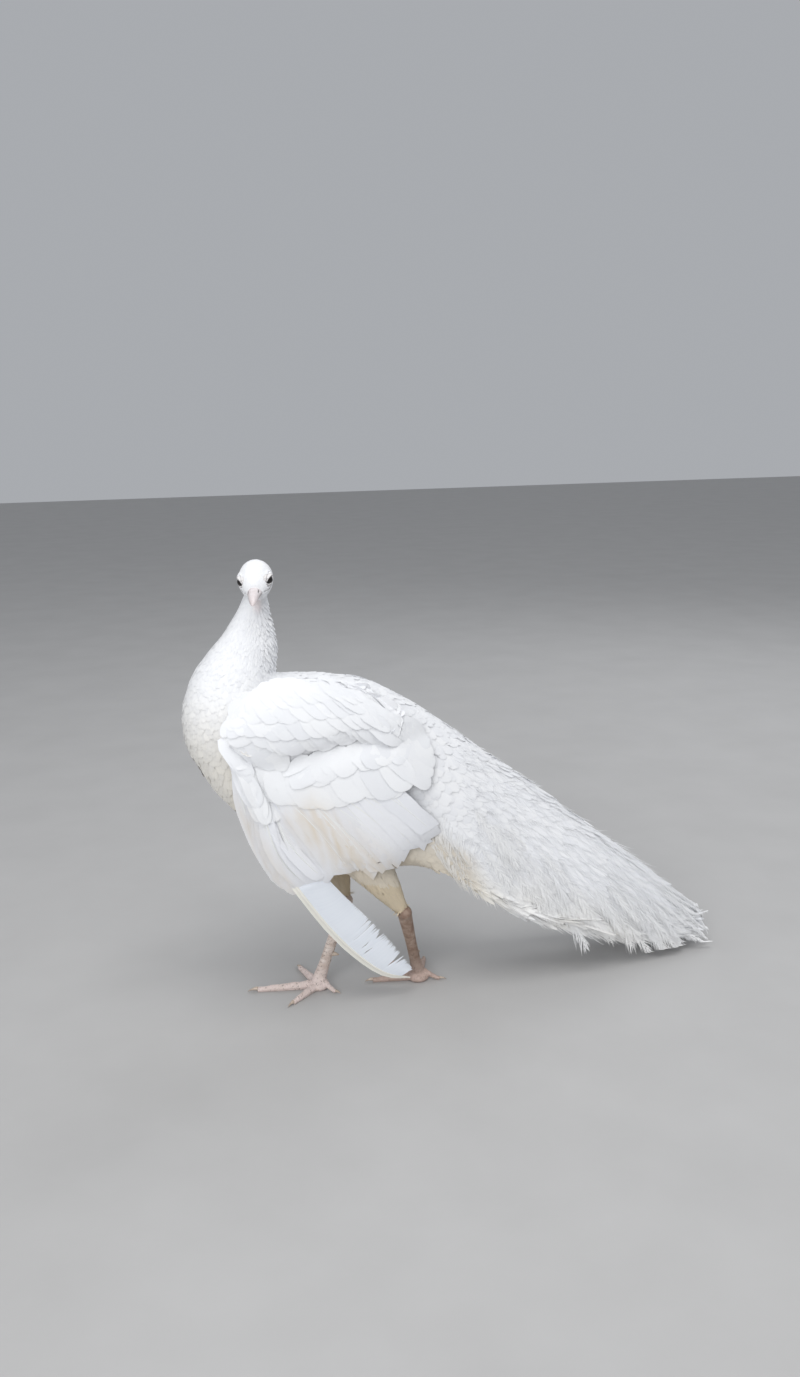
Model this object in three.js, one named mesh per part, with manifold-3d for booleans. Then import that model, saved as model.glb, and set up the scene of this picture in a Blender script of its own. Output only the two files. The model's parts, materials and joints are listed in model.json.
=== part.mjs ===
// A white peacock standing at rest, life-size, as a museum would show it.
// The left wing droops, with one long primary that hangs beside the left foot, and the head is
// turned to the bird's left. Millimetres, +Z up. The bird heads along -X and its left side faces -Y.
import * as THREE from 'three';
import { mergeVertices } from 'three/addons/utils/BufferGeometryUtils.js';
import Module from 'manifold-3d';

const wasm = await Module();
wasm.setup();

// ---------------------------------------------------------------- driving dimensions (mm)
const GAP = 0.3; // left between pieces that touch
const HEAD_WIDTH = 44; // across the feathered cheeks
const EYE_RADIUS = 7.2;
// The bill, in the head's frame.
const BILL = {
  length: 27, // the part clear of the forehead feathers
  overbite: 4, // how far the upper mandible passes the lower
  droop: 5.5, // how far the tip hangs below the base
  gape: -11.5, // height of the line where the mandibles meet
  upper: { halfWidth: 6.9, height: 8.6 },
  lower: { halfWidth: 6, height: 5.4 },
  steps: 6,
  sides: 8,
};
const BODY_SIDES = 24; // points round a body section
const LIMB_SIDES = 12; // points round a leg
const TOE_SIDES = 8;
const CLAW_SIDES = 6;
const SECTIONS_PER_SPAN = 2;
const CREST_FEATHERS = 9;

// Where the joints of the legs are: x forward is negative, y to the bird's left is negative.
const LEGS = {
  left: {
    side: -1,
    knee: [-103, -45, 228],
    hock: [-37, -47, 122],
    foot: [-7, -3, 0],
    shin: [40, 34, 28, 22.5, 17, 9.5], // radii of the feathered shin, from the knee to the hock
    heading: 117, // degrees from +X of the middle toe
    inner: -51, // the other toes' angles from the middle one
    outer: 54,
    hind: -139,
  },
  right: {
    side: 1,
    knee: [-131, 42, 228],
    hock: [-105, 11, 125],
    foot: [-147, 13, 0],
    shin: [40, 34, 28, 22.5, 17, 10],
    heading: 171,
    inner: 51,
    outer: -68,
    hind: 139,
  },
};
const TOE_LENGTH = { middle: 70, inner: 43, outer: 50, hind: 20 };
const TOE_RADIUS = { middle: 6.4, inner: 5.6, outer: 5.8, hind: 4.4 };
const TOE_RISE = { middle: 0, inner: 0, outer: 0, hind: 9 }; // how high its root is held
const CLAW_LENGTH = { middle: 14, inner: 12, outer: 12, hind: 10 };
const FOOT_RADIUS = 15; // the pad that the toes grow from
const SPUR_LENGTH = 6;

// The body is a row of sections, each set by its dorsal and ventral points in the XZ plane,
// its half width, and how far it has turned from an ellipse (0) into the tail's tent (1).
const BODY = [
  { name: 'throat', dorsal: [-196, 562], ventral: [-225, 560], halfWidth: 16, tent: 0 },
  { name: 'neck', dorsal: [-197, 533], ventral: [-240, 531], halfWidth: 21, tent: 0 },
  { name: 'neckMiddle', dorsal: [-189, 500], ventral: [-264, 499], halfWidth: 31, tent: 0 },
  { name: 'neckRoot', dorsal: [-191, 473], ventral: [-292, 467], halfWidth: 43, tent: 0 },
  { name: 'upperBreast', dorsal: [-189, 455], ventral: [-311, 425], halfWidth: 55, tent: 0 },
  { name: 'breast', dorsal: [-174, 453], ventral: [-313, 375], halfWidth: 66, tent: 0 },
  { name: 'shoulders', dorsal: [-146, 453], ventral: [-292, 326], halfWidth: 73, tent: 0 },
  { name: 'back', dorsal: [-113, 448], ventral: [-256, 277], halfWidth: 78, tent: 0 },
  { name: 'loin', dorsal: [-66, 436], ventral: [-190, 226], halfWidth: 81, tent: 0 },
  { name: 'hips', dorsal: [-12, 406], ventral: [-106, 181], halfWidth: 78, tent: 0 },
  { name: 'vent', dorsal: [40, 368], ventral: [-30, 160], halfWidth: 72, tent: 0.25 },
  { name: 'rump', dorsal: [97, 323], ventral: [40, 137], halfWidth: 67, tent: 0.65 },
  { name: 'tailRoot', dorsal: [155, 281], ventral: [96, 107], halfWidth: 63, tent: 0.95 },
  { name: 'train', dorsal: [212, 233], ventral: [160, 82], halfWidth: 60, tent: 1 },
  { name: 'trainMiddle', dorsal: [270, 187], ventral: [224, 57], halfWidth: 56, tent: 1 },
  { name: 'trainLower', dorsal: [333, 136], ventral: [297, 33], halfWidth: 48, tent: 1 },
  { name: 'trainEnd', dorsal: [385, 90], ventral: [357, 28], halfWidth: 37, tent: 1 },
  { name: 'tailTip', dorsal: [424, 52], ventral: [414, 32], halfWidth: 20, tent: 1 },
];
const TENT_EDGE = 1 / 3; // share of the half section at which the tent's lower edge comes
const TENT_ARCH = 0.34; // how far the tent's underside rises, as a share of its height

// The trunk's axis, from the breast to the rump, which the wings wrap round.
const AXIS_START = new THREE.Vector2(-234, 397);
const AXIS = new THREE.Vector2(276, -145).normalize();
const ABOVE = new THREE.Vector2(-AXIS.y, AXIS.x);
const TRUNK_HALF_HEIGHT = 118;
const FLANK = {
  halfWidth: 81, // at its widest
  widest: 150, // how far along the axis that is
  narrowing: 26, // how much is lost towards either end
  reach: 300, // over this distance
  roof: 0.86, // how fast it closes above the axis
  keel: 0.1, // and below it
};

// The head's own frame: x along the bill, y to its left, z up, with its origin between the eyes.
const HEAD = {
  centre: [-215, -24, 577.5],
  turn: THREE.MathUtils.degToRad(75), // left turn of the bill from the body's heading, about +Z
  nod: THREE.MathUtils.degToRad(10), // bill down
  tilt: THREE.MathUtils.degToRad(4), // crown towards the head's left
};
const HEAD_SECTIONS = [
  // x, centre height, half height, half width as a share of the head's
  { x: -41, z: -4, height: 3, width: 0.12 },
  { x: -39, z: -4, height: 9, width: 0.42 },
  { x: -33, z: -2.5, height: 16, width: 0.7 },
  { x: -24, z: -1, height: 21.5, width: 0.9 },
  { x: -12, z: 0, height: 24.5, width: 1 },
  { x: 0, z: -2, height: 22.5, width: 0.97 },
  { x: 9, z: -5, height: 18, width: 0.82 },
  { x: 16, z: -7.5, height: 13.5, width: 0.6 },
  { x: 20, z: -9, height: 10, width: 0.42 },
];
const EYE_PLACE = [0, 15, 0.5]; // of the left eye, in the head's frame

// ---------------------------------------------------------------- materials
const material = (color, roughness = 0.8, metalness = 0) =>
  new THREE.MeshStandardMaterial({ color, roughness, metalness });
const plumage = material(0xf2f0ea, 0.85);
const flightFeather = material(0xeef1f4, 0.6);
const shinFeather = material(0xe3dcc4, 0.85);
const scaledSkin = material(0xc9a99a, 0.6);
const horn = material(0xd9c9b8, 0.45);
const clawHorn = material(0xb39a86, 0.4);
const eyeball = material(0x0d0a09, 0.08);

// ---------------------------------------------------------------- solids and meshes
function toSolid(geometry) {
  const bare = geometry.clone();
  for (const name of ['normal', 'uv']) bare.deleteAttribute(name);
  const merged = mergeVertices(bare, 1e-4);
  const solid = new wasm.Manifold(
    new wasm.Mesh({
      numProp: 3,
      vertProperties: merged.attributes.position.array,
      triVerts: new Uint32Array(merged.index.array),
    }),
  );
  return solid;
}

function toGeometry(solid) {
  const mesh = solid.getMesh();
  const geometry = new THREE.BufferGeometry();
  geometry.setAttribute('position', new THREE.BufferAttribute(mesh.vertProperties, 3));
  geometry.setIndex(new THREE.BufferAttribute(mesh.triVerts, 1));
  return geometry;
}

// The largest of the bodies that a cut leaves.
function largest(solid) {
  return solid.decompose().reduce((best, s) => (s.volume() > best.volume() ? s : best));
}

// A named piece, flat shaded, in the group that places it.
function add(parent, name, shape, finish) {
  const geometry = shape.isBufferGeometry ? shape : toGeometry(shape);
  const mesh = new THREE.Mesh(geometry.index ? geometry.toNonIndexed() : geometry, finish);
  mesh.geometry.computeVertexNormals();
  mesh.name = name;
  parent.add(mesh);
  return mesh;
}

// What is left of a solid in a placed group's frame once the bird's own solids are cut away.
function cutInPlace(solid, placement, cutter) {
  placement.updateMatrix();
  return largest(solid.subtract(cutter.transform(placement.matrix.clone().invert().toArray())));
}

// Six times the volume that the faces enclose; negative if they point inwards.
function signedVolume(points, faces) {
  let sum = 0;
  const cross = new THREE.Vector3();
  for (const [a, b, c] of faces) sum += points[a].dot(cross.crossVectors(points[b], points[c]));
  return sum;
}

function closedGeometry(points, faces) {
  const flip = signedVolume(points, faces) < 0;
  const index = faces.flatMap(([a, b, c]) => (flip ? [a, c, b] : [a, b, c]));
  const geometry = new THREE.BufferGeometry().setFromPoints(points);
  geometry.setIndex(index);
  return geometry;
}

// A skin over a row of rings, closed by a fan at each end.
function loft(rings) {
  const n = rings[0].length;
  const points = rings.flat();
  const faces = [];
  for (let r = 0; r + 1 < rings.length; r++) {
    for (let i = 0; i < n; i++) {
      const [a, b] = [r * n + i, r * n + ((i + 1) % n)];
      faces.push([a, b, b + n], [a, b + n, a + n]);
    }
  }
  for (const [start, last] of [[0, false], [(rings.length - 1) * n, true]]) {
    const middle = new THREE.Vector3();
    for (let i = 0; i < n; i++) middle.addScaledVector(points[start + i], 1 / n);
    const hub = points.push(middle) - 1;
    for (let i = 0; i < n; i++) {
      const [a, b] = [start + i, start + ((i + 1) % n)];
      faces.push(last ? [hub, a, b] : [hub, b, a]);
    }
  }
  return closedGeometry(points, faces);
}

// A plate between two surfaces, each a function of u and v from 0 to 1.
function slab(outer, inner, columns, rows) {
  const points = [];
  const faces = [];
  for (const surface of [outer, inner]) {
    for (let i = 0; i <= columns; i++) {
      for (let j = 0; j <= rows; j++) points.push(surface(i / columns, j / rows));
    }
  }
  const sheet = (columns + 1) * (rows + 1);
  const at = (i, j, layer) => layer * sheet + i * (rows + 1) + j;
  for (let i = 0; i < columns; i++) {
    for (let j = 0; j < rows; j++) {
      const quad = (layer) => [at(i, j, layer), at(i + 1, j, layer), at(i + 1, j + 1, layer), at(i, j + 1, layer)];
      const [a, b, c, d] = quad(0);
      const [e, f, g, h] = quad(1);
      faces.push([a, b, c], [a, c, d], [e, g, f], [e, h, g]);
    }
  }
  const wall = (p, q, p2, q2) => faces.push([p, p2, q], [q, p2, q2]);
  for (let i = 0; i < columns; i++) {
    wall(at(i, 0, 0), at(i + 1, 0, 0), at(i, 0, 1), at(i + 1, 0, 1));
    wall(at(i + 1, rows, 0), at(i, rows, 0), at(i + 1, rows, 1), at(i, rows, 1));
  }
  for (let j = 0; j < rows; j++) {
    wall(at(0, j + 1, 0), at(0, j, 0), at(0, j + 1, 1), at(0, j, 1));
    wall(at(columns, j, 0), at(columns, j + 1, 0), at(columns, j, 1), at(columns, j + 1, 1));
  }
  return closedGeometry(points, faces);
}

// ---------------------------------------------------------------- curves
function catmull(a, b, c, d, t) {
  const s = (c - a) / 2;
  const e = (d - b) / 2;
  return ((2 * b - 2 * c + s + e) * t + (3 * c - 3 * b - 2 * s - e)) * t * t + s * t + b;
}

// A smooth value through a row of them, at a place from 0 to the last one's index.
function through(values, place) {
  const last = values.length - 1;
  const i = Math.min(Math.floor(place), last - 1);
  const at = (k) => values[THREE.MathUtils.clamp(k, 0, last)];
  return catmull(at(i - 1), at(i), at(i + 1), at(i + 2), place - i);
}

// A point on a smooth plane curve through a few points, from 0 to 1.
function along(points, t) {
  const place = t * (points.length - 1);
  return new THREE.Vector2(
    through(points.map((p) => p[0]), place),
    through(points.map((p) => p[1]), place),
  );
}

// A patch of the XZ plane bounded by four curves: top and bottom run front to rear.
function patch({ top, bottom, front, rear }) {
  return (u, v) => {
    const [t, b, f, r] = [along(top, u), along(bottom, u), along(front, v), along(rear, v)];
    const corner = (a, c) => new THREE.Vector2(...a).lerp(new THREE.Vector2(...c), u);
    const low = corner(bottom[0], bottom.at(-1));
    const high = corner(top[0], top.at(-1));
    return t.lerp(b, v).add(f.lerp(r, u)).sub(high.lerp(low, v));
  };
}

// ---------------------------------------------------------------- body
const stationIndex = (name) => BODY.findIndex((s) => s.name === name);

// Half of a section, as [share of the half width, share of the way down], for f from 0 to 1.
function ellipseShare(f) {
  const angle = Math.PI * f;
  return [Math.sin(angle), (1 - Math.cos(angle)) / 2];
}

function tentShare(f) {
  if (f <= 2 * TENT_EDGE) {
    const u = f / (2 * TENT_EDGE);
    return [Math.sin((u * Math.PI) / 2) ** 0.85, u ** 1.45];
  }
  const v = (f - 2 * TENT_EDGE) / (1 - 2 * TENT_EDGE);
  return [1 - v, 1 - TENT_ARCH * Math.sin((v * Math.PI) / 2)];
}

function bodyRing(place, grow = 0) {
  const value = (pick) => through(BODY.map(pick), place);
  const top = new THREE.Vector2(value((s) => s.dorsal[0]), value((s) => s.dorsal[1]));
  const bottom = new THREE.Vector2(value((s) => s.ventral[0]), value((s) => s.ventral[1]));
  const reach = bottom.clone().sub(top).normalize().multiplyScalar(grow);
  top.sub(reach);
  bottom.add(reach);
  const halfWidth = value((s) => s.halfWidth) + grow;
  const tent = THREE.MathUtils.clamp(value((s) => s.tent), 0, 1);
  const ring = [];
  for (let i = 0; i < BODY_SIDES; i++) {
    const turn = (2 * i) / BODY_SIDES;
    const side = turn <= 1 ? 1 : -1;
    const f = turn <= 1 ? turn : 2 - turn;
    const [ey, et] = ellipseShare(f);
    const [ty, tt] = tentShare(f);
    const y = side * halfWidth * THREE.MathUtils.lerp(ey, ty, tent);
    const p = top.clone().lerp(bottom, THREE.MathUtils.lerp(et, tt, tent));
    ring.push(new THREE.Vector3(p.x, y, p.y));
  }
  return ring;
}

const SHORTEST_SPAN = 22; // mm between the closest sections' middles, which turns a gap into a share

// The body between two named sections, half a gap short at each end that has a neighbour.
function bodyPiece(from, to, grow = 0) {
  const [first, last] = [stationIndex(from), stationIndex(to)];
  const half = GAP / 2 / SHORTEST_SPAN;
  const start = first === 0 ? 0 : first + half;
  const end = last === BODY.length - 1 ? last : last - half;
  const steps = (last - first) * SECTIONS_PER_SPAN;
  const rings = [];
  for (let k = 0; k <= steps; k++) {
    const place = THREE.MathUtils.lerp(start, end, k / steps);
    rings.push(bodyRing(place, grow));
  }
  return loft(rings);
}

// ---------------------------------------------------------------- head
const head = new THREE.Group();
head.position.set(...HEAD.centre);
head.rotation.set(HEAD.tilt, HEAD.nod, Math.PI + HEAD.turn, 'ZYX');

function ellipseRing(x, z, height, width, sides) {
  const ring = [];
  for (let i = 0; i < sides; i++) {
    const a = (2 * Math.PI * i) / sides;
    ring.push(new THREE.Vector3(x, width * Math.sin(a), z + height * Math.cos(a)));
  }
  return ring;
}

function headShell(grow = 0) {
  const halfWidth = HEAD_WIDTH / 2;
  const last = HEAD_SECTIONS.length - 1;
  const rings = [];
  const steps = Math.round(last * 1.5);
  for (let k = 0; k <= steps; k++) {
    const value = (key) => through(HEAD_SECTIONS.map((s) => s[key]), (k / steps) * last);
    const push = k === 0 ? -grow : k === steps ? grow : 0;
    rings.push(
      ellipseRing(value('x') + push, value('z'), value('height') + grow, value('width') * halfWidth + grow, 20),
    );
  }
  return toSolid(loft(rings));
}

const eyeBall = (grow = 0) => new THREE.SphereGeometry(EYE_RADIUS + grow, 12, 7);
const eyeSocket = (side) =>
  toSolid(eyeBall(GAP).translate(EYE_PLACE[0], side * EYE_PLACE[1], EYE_PLACE[2]));

// A mandible: half ellipses that shrink along the bill and droop to its tip.
function mandible(upper) {
  const { halfWidth, height } = upper ? BILL.upper : BILL.lower;
  const start = HEAD_SECTIONS.at(-1).x + GAP;
  const length = upper ? BILL.length : BILL.length - BILL.overbite;
  const rings = [];
  for (let k = 0; k <= BILL.steps; k++) {
    const t = k / BILL.steps;
    const taper = Math.sqrt(1 - 0.985 * t ** 1.6); // blunt: it closes only at the very tip
    const base = BILL.gape - BILL.droop * ((length * t) / BILL.length) ** 2.4;
    const ring = [];
    for (let i = 0; i <= BILL.sides; i++) {
      const a = (Math.PI * i) / BILL.sides;
      const arch = height * taper * Math.sin(a);
      const z = base + (upper ? arch : -GAP - arch);
      ring.push(new THREE.Vector3(start + length * t, halfWidth * taper * Math.cos(a), z));
    }
    rings.push(ring);
  }
  return loft(rings);
}

// One crest feather: a bare shaft that ends in a small spade, in the plane of the fan.
function crestFeather(angle, length, lean) {
  const root = new THREE.Vector3(-30, 0, 14);
  const direction = new THREE.Vector3(Math.cos(angle), lean, Math.sin(angle)).normalize();
  const across = new THREE.Vector3(-Math.sin(angle), 0, Math.cos(angle));
  const rings = [[0, 0.7], [0.7, 0.6], [0.8, 2.8], [0.92, 4], [1, 1.6]];
  return toSolid(
    loft(
      rings.map(([t, half], k) => {
        const thick = k < 2 ? half : 0.7;
        const middle = root.clone().addScaledVector(direction, t * length);
        return [0, 1, 2, 3].map((i) => {
          const a = (Math.PI * i) / 2;
          const p = middle.clone().addScaledVector(across, half * Math.cos(a));
          p.y += thick * Math.sin(a);
          return p;
        });
      }),
    ),
  );
}

function crest() {
  const feathers = [];
  for (let k = 0; k < CREST_FEATHERS; k++) {
    const f = k / (CREST_FEATHERS - 1);
    const angle = THREE.MathUtils.degToRad(THREE.MathUtils.lerp(191, 230, f));
    const length = 44 + 9 * Math.sin(Math.PI * f);
    feathers.push(crestFeather(angle, length, k % 2 ? 0.05 : -0.05));
  }
  return largest(wasm.Manifold.union(feathers).subtract(headShell(GAP)));
}

// ---------------------------------------------------------------- wings
// How far out the flank lies at a place in the XZ plane, for feathers lifted off it.
function flank(x, z, lift) {
  const from = new THREE.Vector2(x, z).sub(AXIS_START);
  const back = from.dot(AXIS);
  const up = from.dot(ABOVE) / TRUNK_HALF_HEIGHT;
  const halfWidth = FLANK.halfWidth - FLANK.narrowing * ((back - FLANK.widest) / FLANK.reach) ** 2;
  const roof = Math.sqrt(Math.max(0.05, 1 - FLANK.roof * up * up));
  return (halfWidth + lift) * (up > 0 ? roof : 1 - FLANK.keel * up * up);
}

const WING_EDGE = 1.6; // how thick a wing piece is at its edges

// A wing piece over a patch: thickest in the middle, thin at its edges, hung at its flank.
function wingPlate(side, { lift, thick, columns, rows, ...outline }) {
  const place = patch(outline);
  const surface = (inward) => (u, v) => {
    const p = place(u, v);
    const belly = (Math.sin(Math.PI * u) * Math.sin(Math.PI * v)) ** 0.5;
    const rise = WING_EDGE + (thick - WING_EDGE) * belly;
    const out = flank(p.x, p.y, lift) - inward * WING_EDGE + (1 - inward) * rise;
    return new THREE.Vector3(p.x, side * out, p.y);
  };
  return toSolid(slab(surface(0), surface(1), columns, rows));
}

// Each piece of a wing: how far it is lifted off the flank, its thickness, the cells of its faces
// and its outline in the XZ plane.
const WINGS = {
  left: {
    side: -1,
    coverts: {
      lift: 3, thick: 14, columns: 10, rows: 4,
      top: [[-262, 402], [-228, 446], [-170, 458], [-105, 444], [-40, 408]],
      bottom: [[-256, 366], [-205, 352], [-160, 366], [-108, 378], [-46, 368]],
      front: [[-262, 402], [-262, 384], [-256, 366]],
      rear: [[-40, 408], [-36, 388], [-46, 368]],
    },
    secondaries: {
      lift: 3, thick: 10, columns: 10, rows: 7,
      top: [[-254, 362], [-205, 348], [-160, 362], [-108, 374], [-46, 364]],
      bottom: [[-146, 199], [-112, 208], [-76, 200], [-44, 224], [-8, 245]],
      front: [[-254, 362], [-208, 280], [-146, 199]],
      rear: [[-46, 364], [-18, 308], [-8, 245]],
    },
    primaries: {
      lift: 6, thick: 10, columns: 3, rows: 9,
      top: [[-272, 392], [-259, 360]],
      bottom: [[-187, 180], [-149, 197]],
      front: [[-272, 392], [-285, 350], [-264, 298], [-228, 228], [-187, 180]],
      rear: [[-259, 360], [-211.5, 279], [-149, 197]],
    },
  },
  right: {
    side: 1,
    coverts: {
      lift: 3, thick: 14, columns: 10, rows: 4,
      top: [[-262, 402], [-228, 446], [-170, 458], [-105, 444], [-36, 410]],
      bottom: [[-252, 352], [-200, 322], [-140, 306], [-80, 300], [-18, 318]],
      front: [[-262, 402], [-268, 378], [-252, 352]],
      rear: [[-36, 410], [-16, 362], [-18, 318]],
    },
    secondaries: {
      lift: 3, thick: 10, columns: 10, rows: 3,
      top: [[-250, 346], [-200, 317], [-140, 301], [-80, 295], [-15, 313]],
      bottom: [[-170, 281], [-112, 257], [-50, 250], [8, 261], [60, 280]],
      front: [[-250, 346], [-214, 309], [-170, 281]],
      rear: [[-15, 313], [28, 300], [60, 280]],
    },
    primaries: {
      lift: 6, thick: 10, columns: 8, rows: 3,
      top: [[-167, 276], [-112, 252], [-50, 245], [10, 256], [66, 276]],
      bottom: [[-140, 256], [-80, 231], [-10, 221], [60, 228], [112, 246]],
      front: [[-167, 276], [-155, 265], [-140, 256]],
      rear: [[66, 276], [92, 262], [112, 246]],
    },
  },
};

// The one primary that is left whole: a long blade that hangs from the left hand.
const LONG_PRIMARY = {
  leading: [[-186.8, 179.5], [-150, 122], [-112.5, 75], [-71, 38], [-30, 24]],
  trailing: [[-148.8, 196.5], [-121, 160.5], [-85.5, 119], [-50, 74], [-25, 35]],
  rootOut: 74, // its distance from the mid plane at the root
  tipOut: 42, // and at the tip
  camber: 5,
  thick: 1.6,
};

function longPrimary() {
  const { leading, trailing, rootOut, tipOut, camber, thick } = LONG_PRIMARY;
  const surface = (inward) => (u, v) => {
    const p = along(leading, u).lerp(along(trailing, u), v);
    const out = THREE.MathUtils.lerp(rootOut, tipOut, u) + camber * Math.sin(Math.PI * v);
    return new THREE.Vector3(p.x, -(out - inward * thick), p.y);
  };
  return slab(surface(0), surface(1), 12, 3);
}

// ---------------------------------------------------------------- legs
// Rings round a straight limb, with radii from its start to its end.
function limb(from, to, radii, flatten = 1, sides = LIMB_SIDES) {
  const [a, b] = [new THREE.Vector3(...from), new THREE.Vector3(...to)];
  const axis = b.clone().sub(a).normalize();
  const across = new THREE.Vector3(0, 1, 0).addScaledVector(axis, -axis.y).normalize();
  const ahead = new THREE.Vector3().crossVectors(across, axis);
  const steps = Math.round((radii.length - 1) * 1.5);
  const rings = [];
  for (let k = 0; k <= steps; k++) {
    const middle = a.clone().lerp(b, k / steps);
    const radius = through(radii, (k / steps) * (radii.length - 1));
    const ring = [];
    for (let i = 0; i < sides; i++) {
      const turn = (2 * Math.PI * i) / sides;
      ring.push(
        middle
          .clone()
          .addScaledVector(across, radius * flatten * Math.cos(turn))
          .addScaledVector(ahead, radius * Math.sin(turn)),
      );
    }
    rings.push(ring);
  }
  return toSolid(loft(rings));
}

// The pad under the foot: a low dome with a flat sole.
function footPad([x, y], grow = 0) {
  const profile = [
    new THREE.Vector2(0, -grow),
    new THREE.Vector2(FOOT_RADIUS - 3 + grow, -grow),
    new THREE.Vector2(FOOT_RADIUS + grow, 3),
    new THREE.Vector2(FOOT_RADIUS - 1 + grow, 8 + grow),
    new THREE.Vector2(FOOT_RADIUS - 5 + grow, 13 + grow),
    new THREE.Vector2(0, 17 + grow),
  ];
  const dome = new THREE.LatheGeometry(profile, 14);
  return toSolid(dome.rotateX(Math.PI / 2).translate(x, y, 0));
}

const HOCK_SHARE = 0.93; // how far down the shin the feathers reach
const HOCK_RADIUS = 10.2;
const TARSUS_RADII = [9.6, 8.6, 7.6, 7.3, 7.8, 10]; // from the hock to the foot
const TARSUS_FLATTEN = 0.86; // width as a share of depth
const SHIN_FLATTEN = 0.74;
const ANKLE_HEIGHT = 9; // where the tarsus meets the foot's pad

function shinEnd(leg) {
  return new THREE.Vector3(...leg.knee).lerp(new THREE.Vector3(...leg.hock), HOCK_SHARE).toArray();
}

function shank(leg, grow = 0) {
  const [x, y] = leg.foot;
  const bone = limb(leg.hock, [x, y, ANKLE_HEIGHT], TARSUS_RADII.map((r) => r + grow), TARSUS_FLATTEN);
  const joint = new THREE.SphereGeometry(HOCK_RADIUS + grow, LIMB_SIDES, 6).translate(...leg.hock);
  return bone.add(toSolid(joint)).add(footPad(leg.foot, grow));
}

function featheredShin(leg, grow = 0) {
  return limb(leg.knee, shinEnd(leg), leg.shin.map((r) => r + grow), SHIN_FLATTEN, 14);
}

// A toe in its own frame, along +X: padded between the joints, with a flat sole at floor level.
function toe(digit) {
  const radius = TOE_RADIUS[digit];
  const rings = [];
  const steps = 7;
  for (let k = 0; k <= steps; k++) {
    const t = k / steps;
    const pads = 1 + 0.09 * Math.cos(2 * Math.PI * t * 3);
    const r = radius * (1 - 0.42 * t) * pads;
    const sole = TOE_RISE[digit] * (1 - t) ** 1.5;
    const ring = [];
    for (let i = 0; i < TOE_SIDES; i++) {
      const a = (2 * Math.PI * i) / TOE_SIDES;
      const height = Math.max(0, 0.75 * r + r * Math.sin(a)) + sole;
      ring.push(new THREE.Vector3(TOE_LENGTH[digit] * t, r * Math.cos(a), height));
    }
    rings.push(ring);
  }
  return toSolid(loft(rings));
}

// A claw in its toe's frame: a cone that curves down to just over the floor.
function claw(digit) {
  const base = TOE_RADIUS[digit] * 0.58;
  const rings = [];
  for (let k = 0; k <= 4; k++) {
    const t = k / 4;
    const r = base * (1 - 0.9 * t) * 0.86;
    const height = 0.6 + r + (base * 1.15 - r) * Math.cos((t * Math.PI) / 2) ** 0.8;
    const ring = [];
    for (let i = 0; i < CLAW_SIDES; i++) {
      const a = (2 * Math.PI * i) / CLAW_SIDES;
      ring.push(new THREE.Vector3(CLAW_LENGTH[digit] * t, r * Math.cos(a), height + r * Math.sin(a)));
    }
    rings.push(ring);
  }
  return loft(rings);
}

// The group that carries a toe and its claw, turned about the foot.
function toePlacement(leg, digit) {
  const turn = digit === 'middle' ? 0 : leg[digit];
  const inset = digit === 'hind' ? FOOT_RADIUS - 5 : FOOT_RADIUS - 1;
  const placement = new THREE.Group();
  placement.rotation.z = THREE.MathUtils.degToRad(leg.heading + turn);
  placement.position.set(inset, 0, 0).applyEuler(placement.rotation).add(new THREE.Vector3(...leg.foot));
  return placement;
}

function spur(leg) {
  const root = new THREE.Vector3(...leg.hock).lerp(new THREE.Vector3(...leg.foot), 0.6);
  const tip = root.clone().add(new THREE.Vector3(SPUR_LENGTH + 6, -leg.side * 7, -1));
  return largest(limb(root.toArray(), tip.toArray(), [4.2, 3.4, 0.8], 1, 8).subtract(shank(leg, GAP)));
}

// ---------------------------------------------------------------- assembly
const group = new THREE.Group();
const bird = new THREE.Group();
group.add(bird);

bird.add(head);
head.updateMatrix();
const sockets = eyeSocket(1).add(eyeSocket(-1));
add(head, 'head', headShell().subtract(sockets), plumage);
add(head, 'eye_left', eyeBall(), eyeball).position.set(...EYE_PLACE);
add(head, 'eye_right', eyeBall(), eyeball).position.set(EYE_PLACE[0], -EYE_PLACE[1], EYE_PLACE[2]);
add(head, 'bill_upper', mandible(true), horn);
add(head, 'bill_lower', mandible(false), horn);
add(head, 'crest', crest(), plumage);

const headCutter = headShell(GAP).transform(head.matrix.toArray());
add(bird, 'neck_upper', largest(toSolid(bodyPiece('throat', 'neckMiddle')).subtract(headCutter)), plumage);
add(bird, 'neck_lower', bodyPiece('neckMiddle', 'upperBreast'), plumage);
add(bird, 'breast', bodyPiece('upperBreast', 'shoulders'), plumage);
add(bird, 'trunk', bodyPiece('shoulders', 'hips'), plumage);
add(bird, 'rump', bodyPiece('hips', 'tailRoot'), plumage);
add(bird, 'train_upper', bodyPiece('tailRoot', 'trainMiddle'), plumage);
add(bird, 'train_lower', bodyPiece('trainMiddle', 'tailTip'), plumage);

const bodyCutter = toSolid(bodyPiece('throat', 'tailTip', GAP));
for (const [name, wing] of Object.entries(WINGS)) {
  const inside = bodyCutter.add(featheredShin(LEGS[name], GAP * 2));
  for (const [part, finish] of [['coverts', plumage], ['secondaries', flightFeather], ['primaries', flightFeather]]) {
    const plate = wingPlate(wing.side, wing[part]);
    add(bird, `wing_${name}_${part}`, largest(plate.subtract(inside)), finish);
  }
}
add(bird, 'wing_left_long_primary', longPrimary(), flightFeather);

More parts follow.
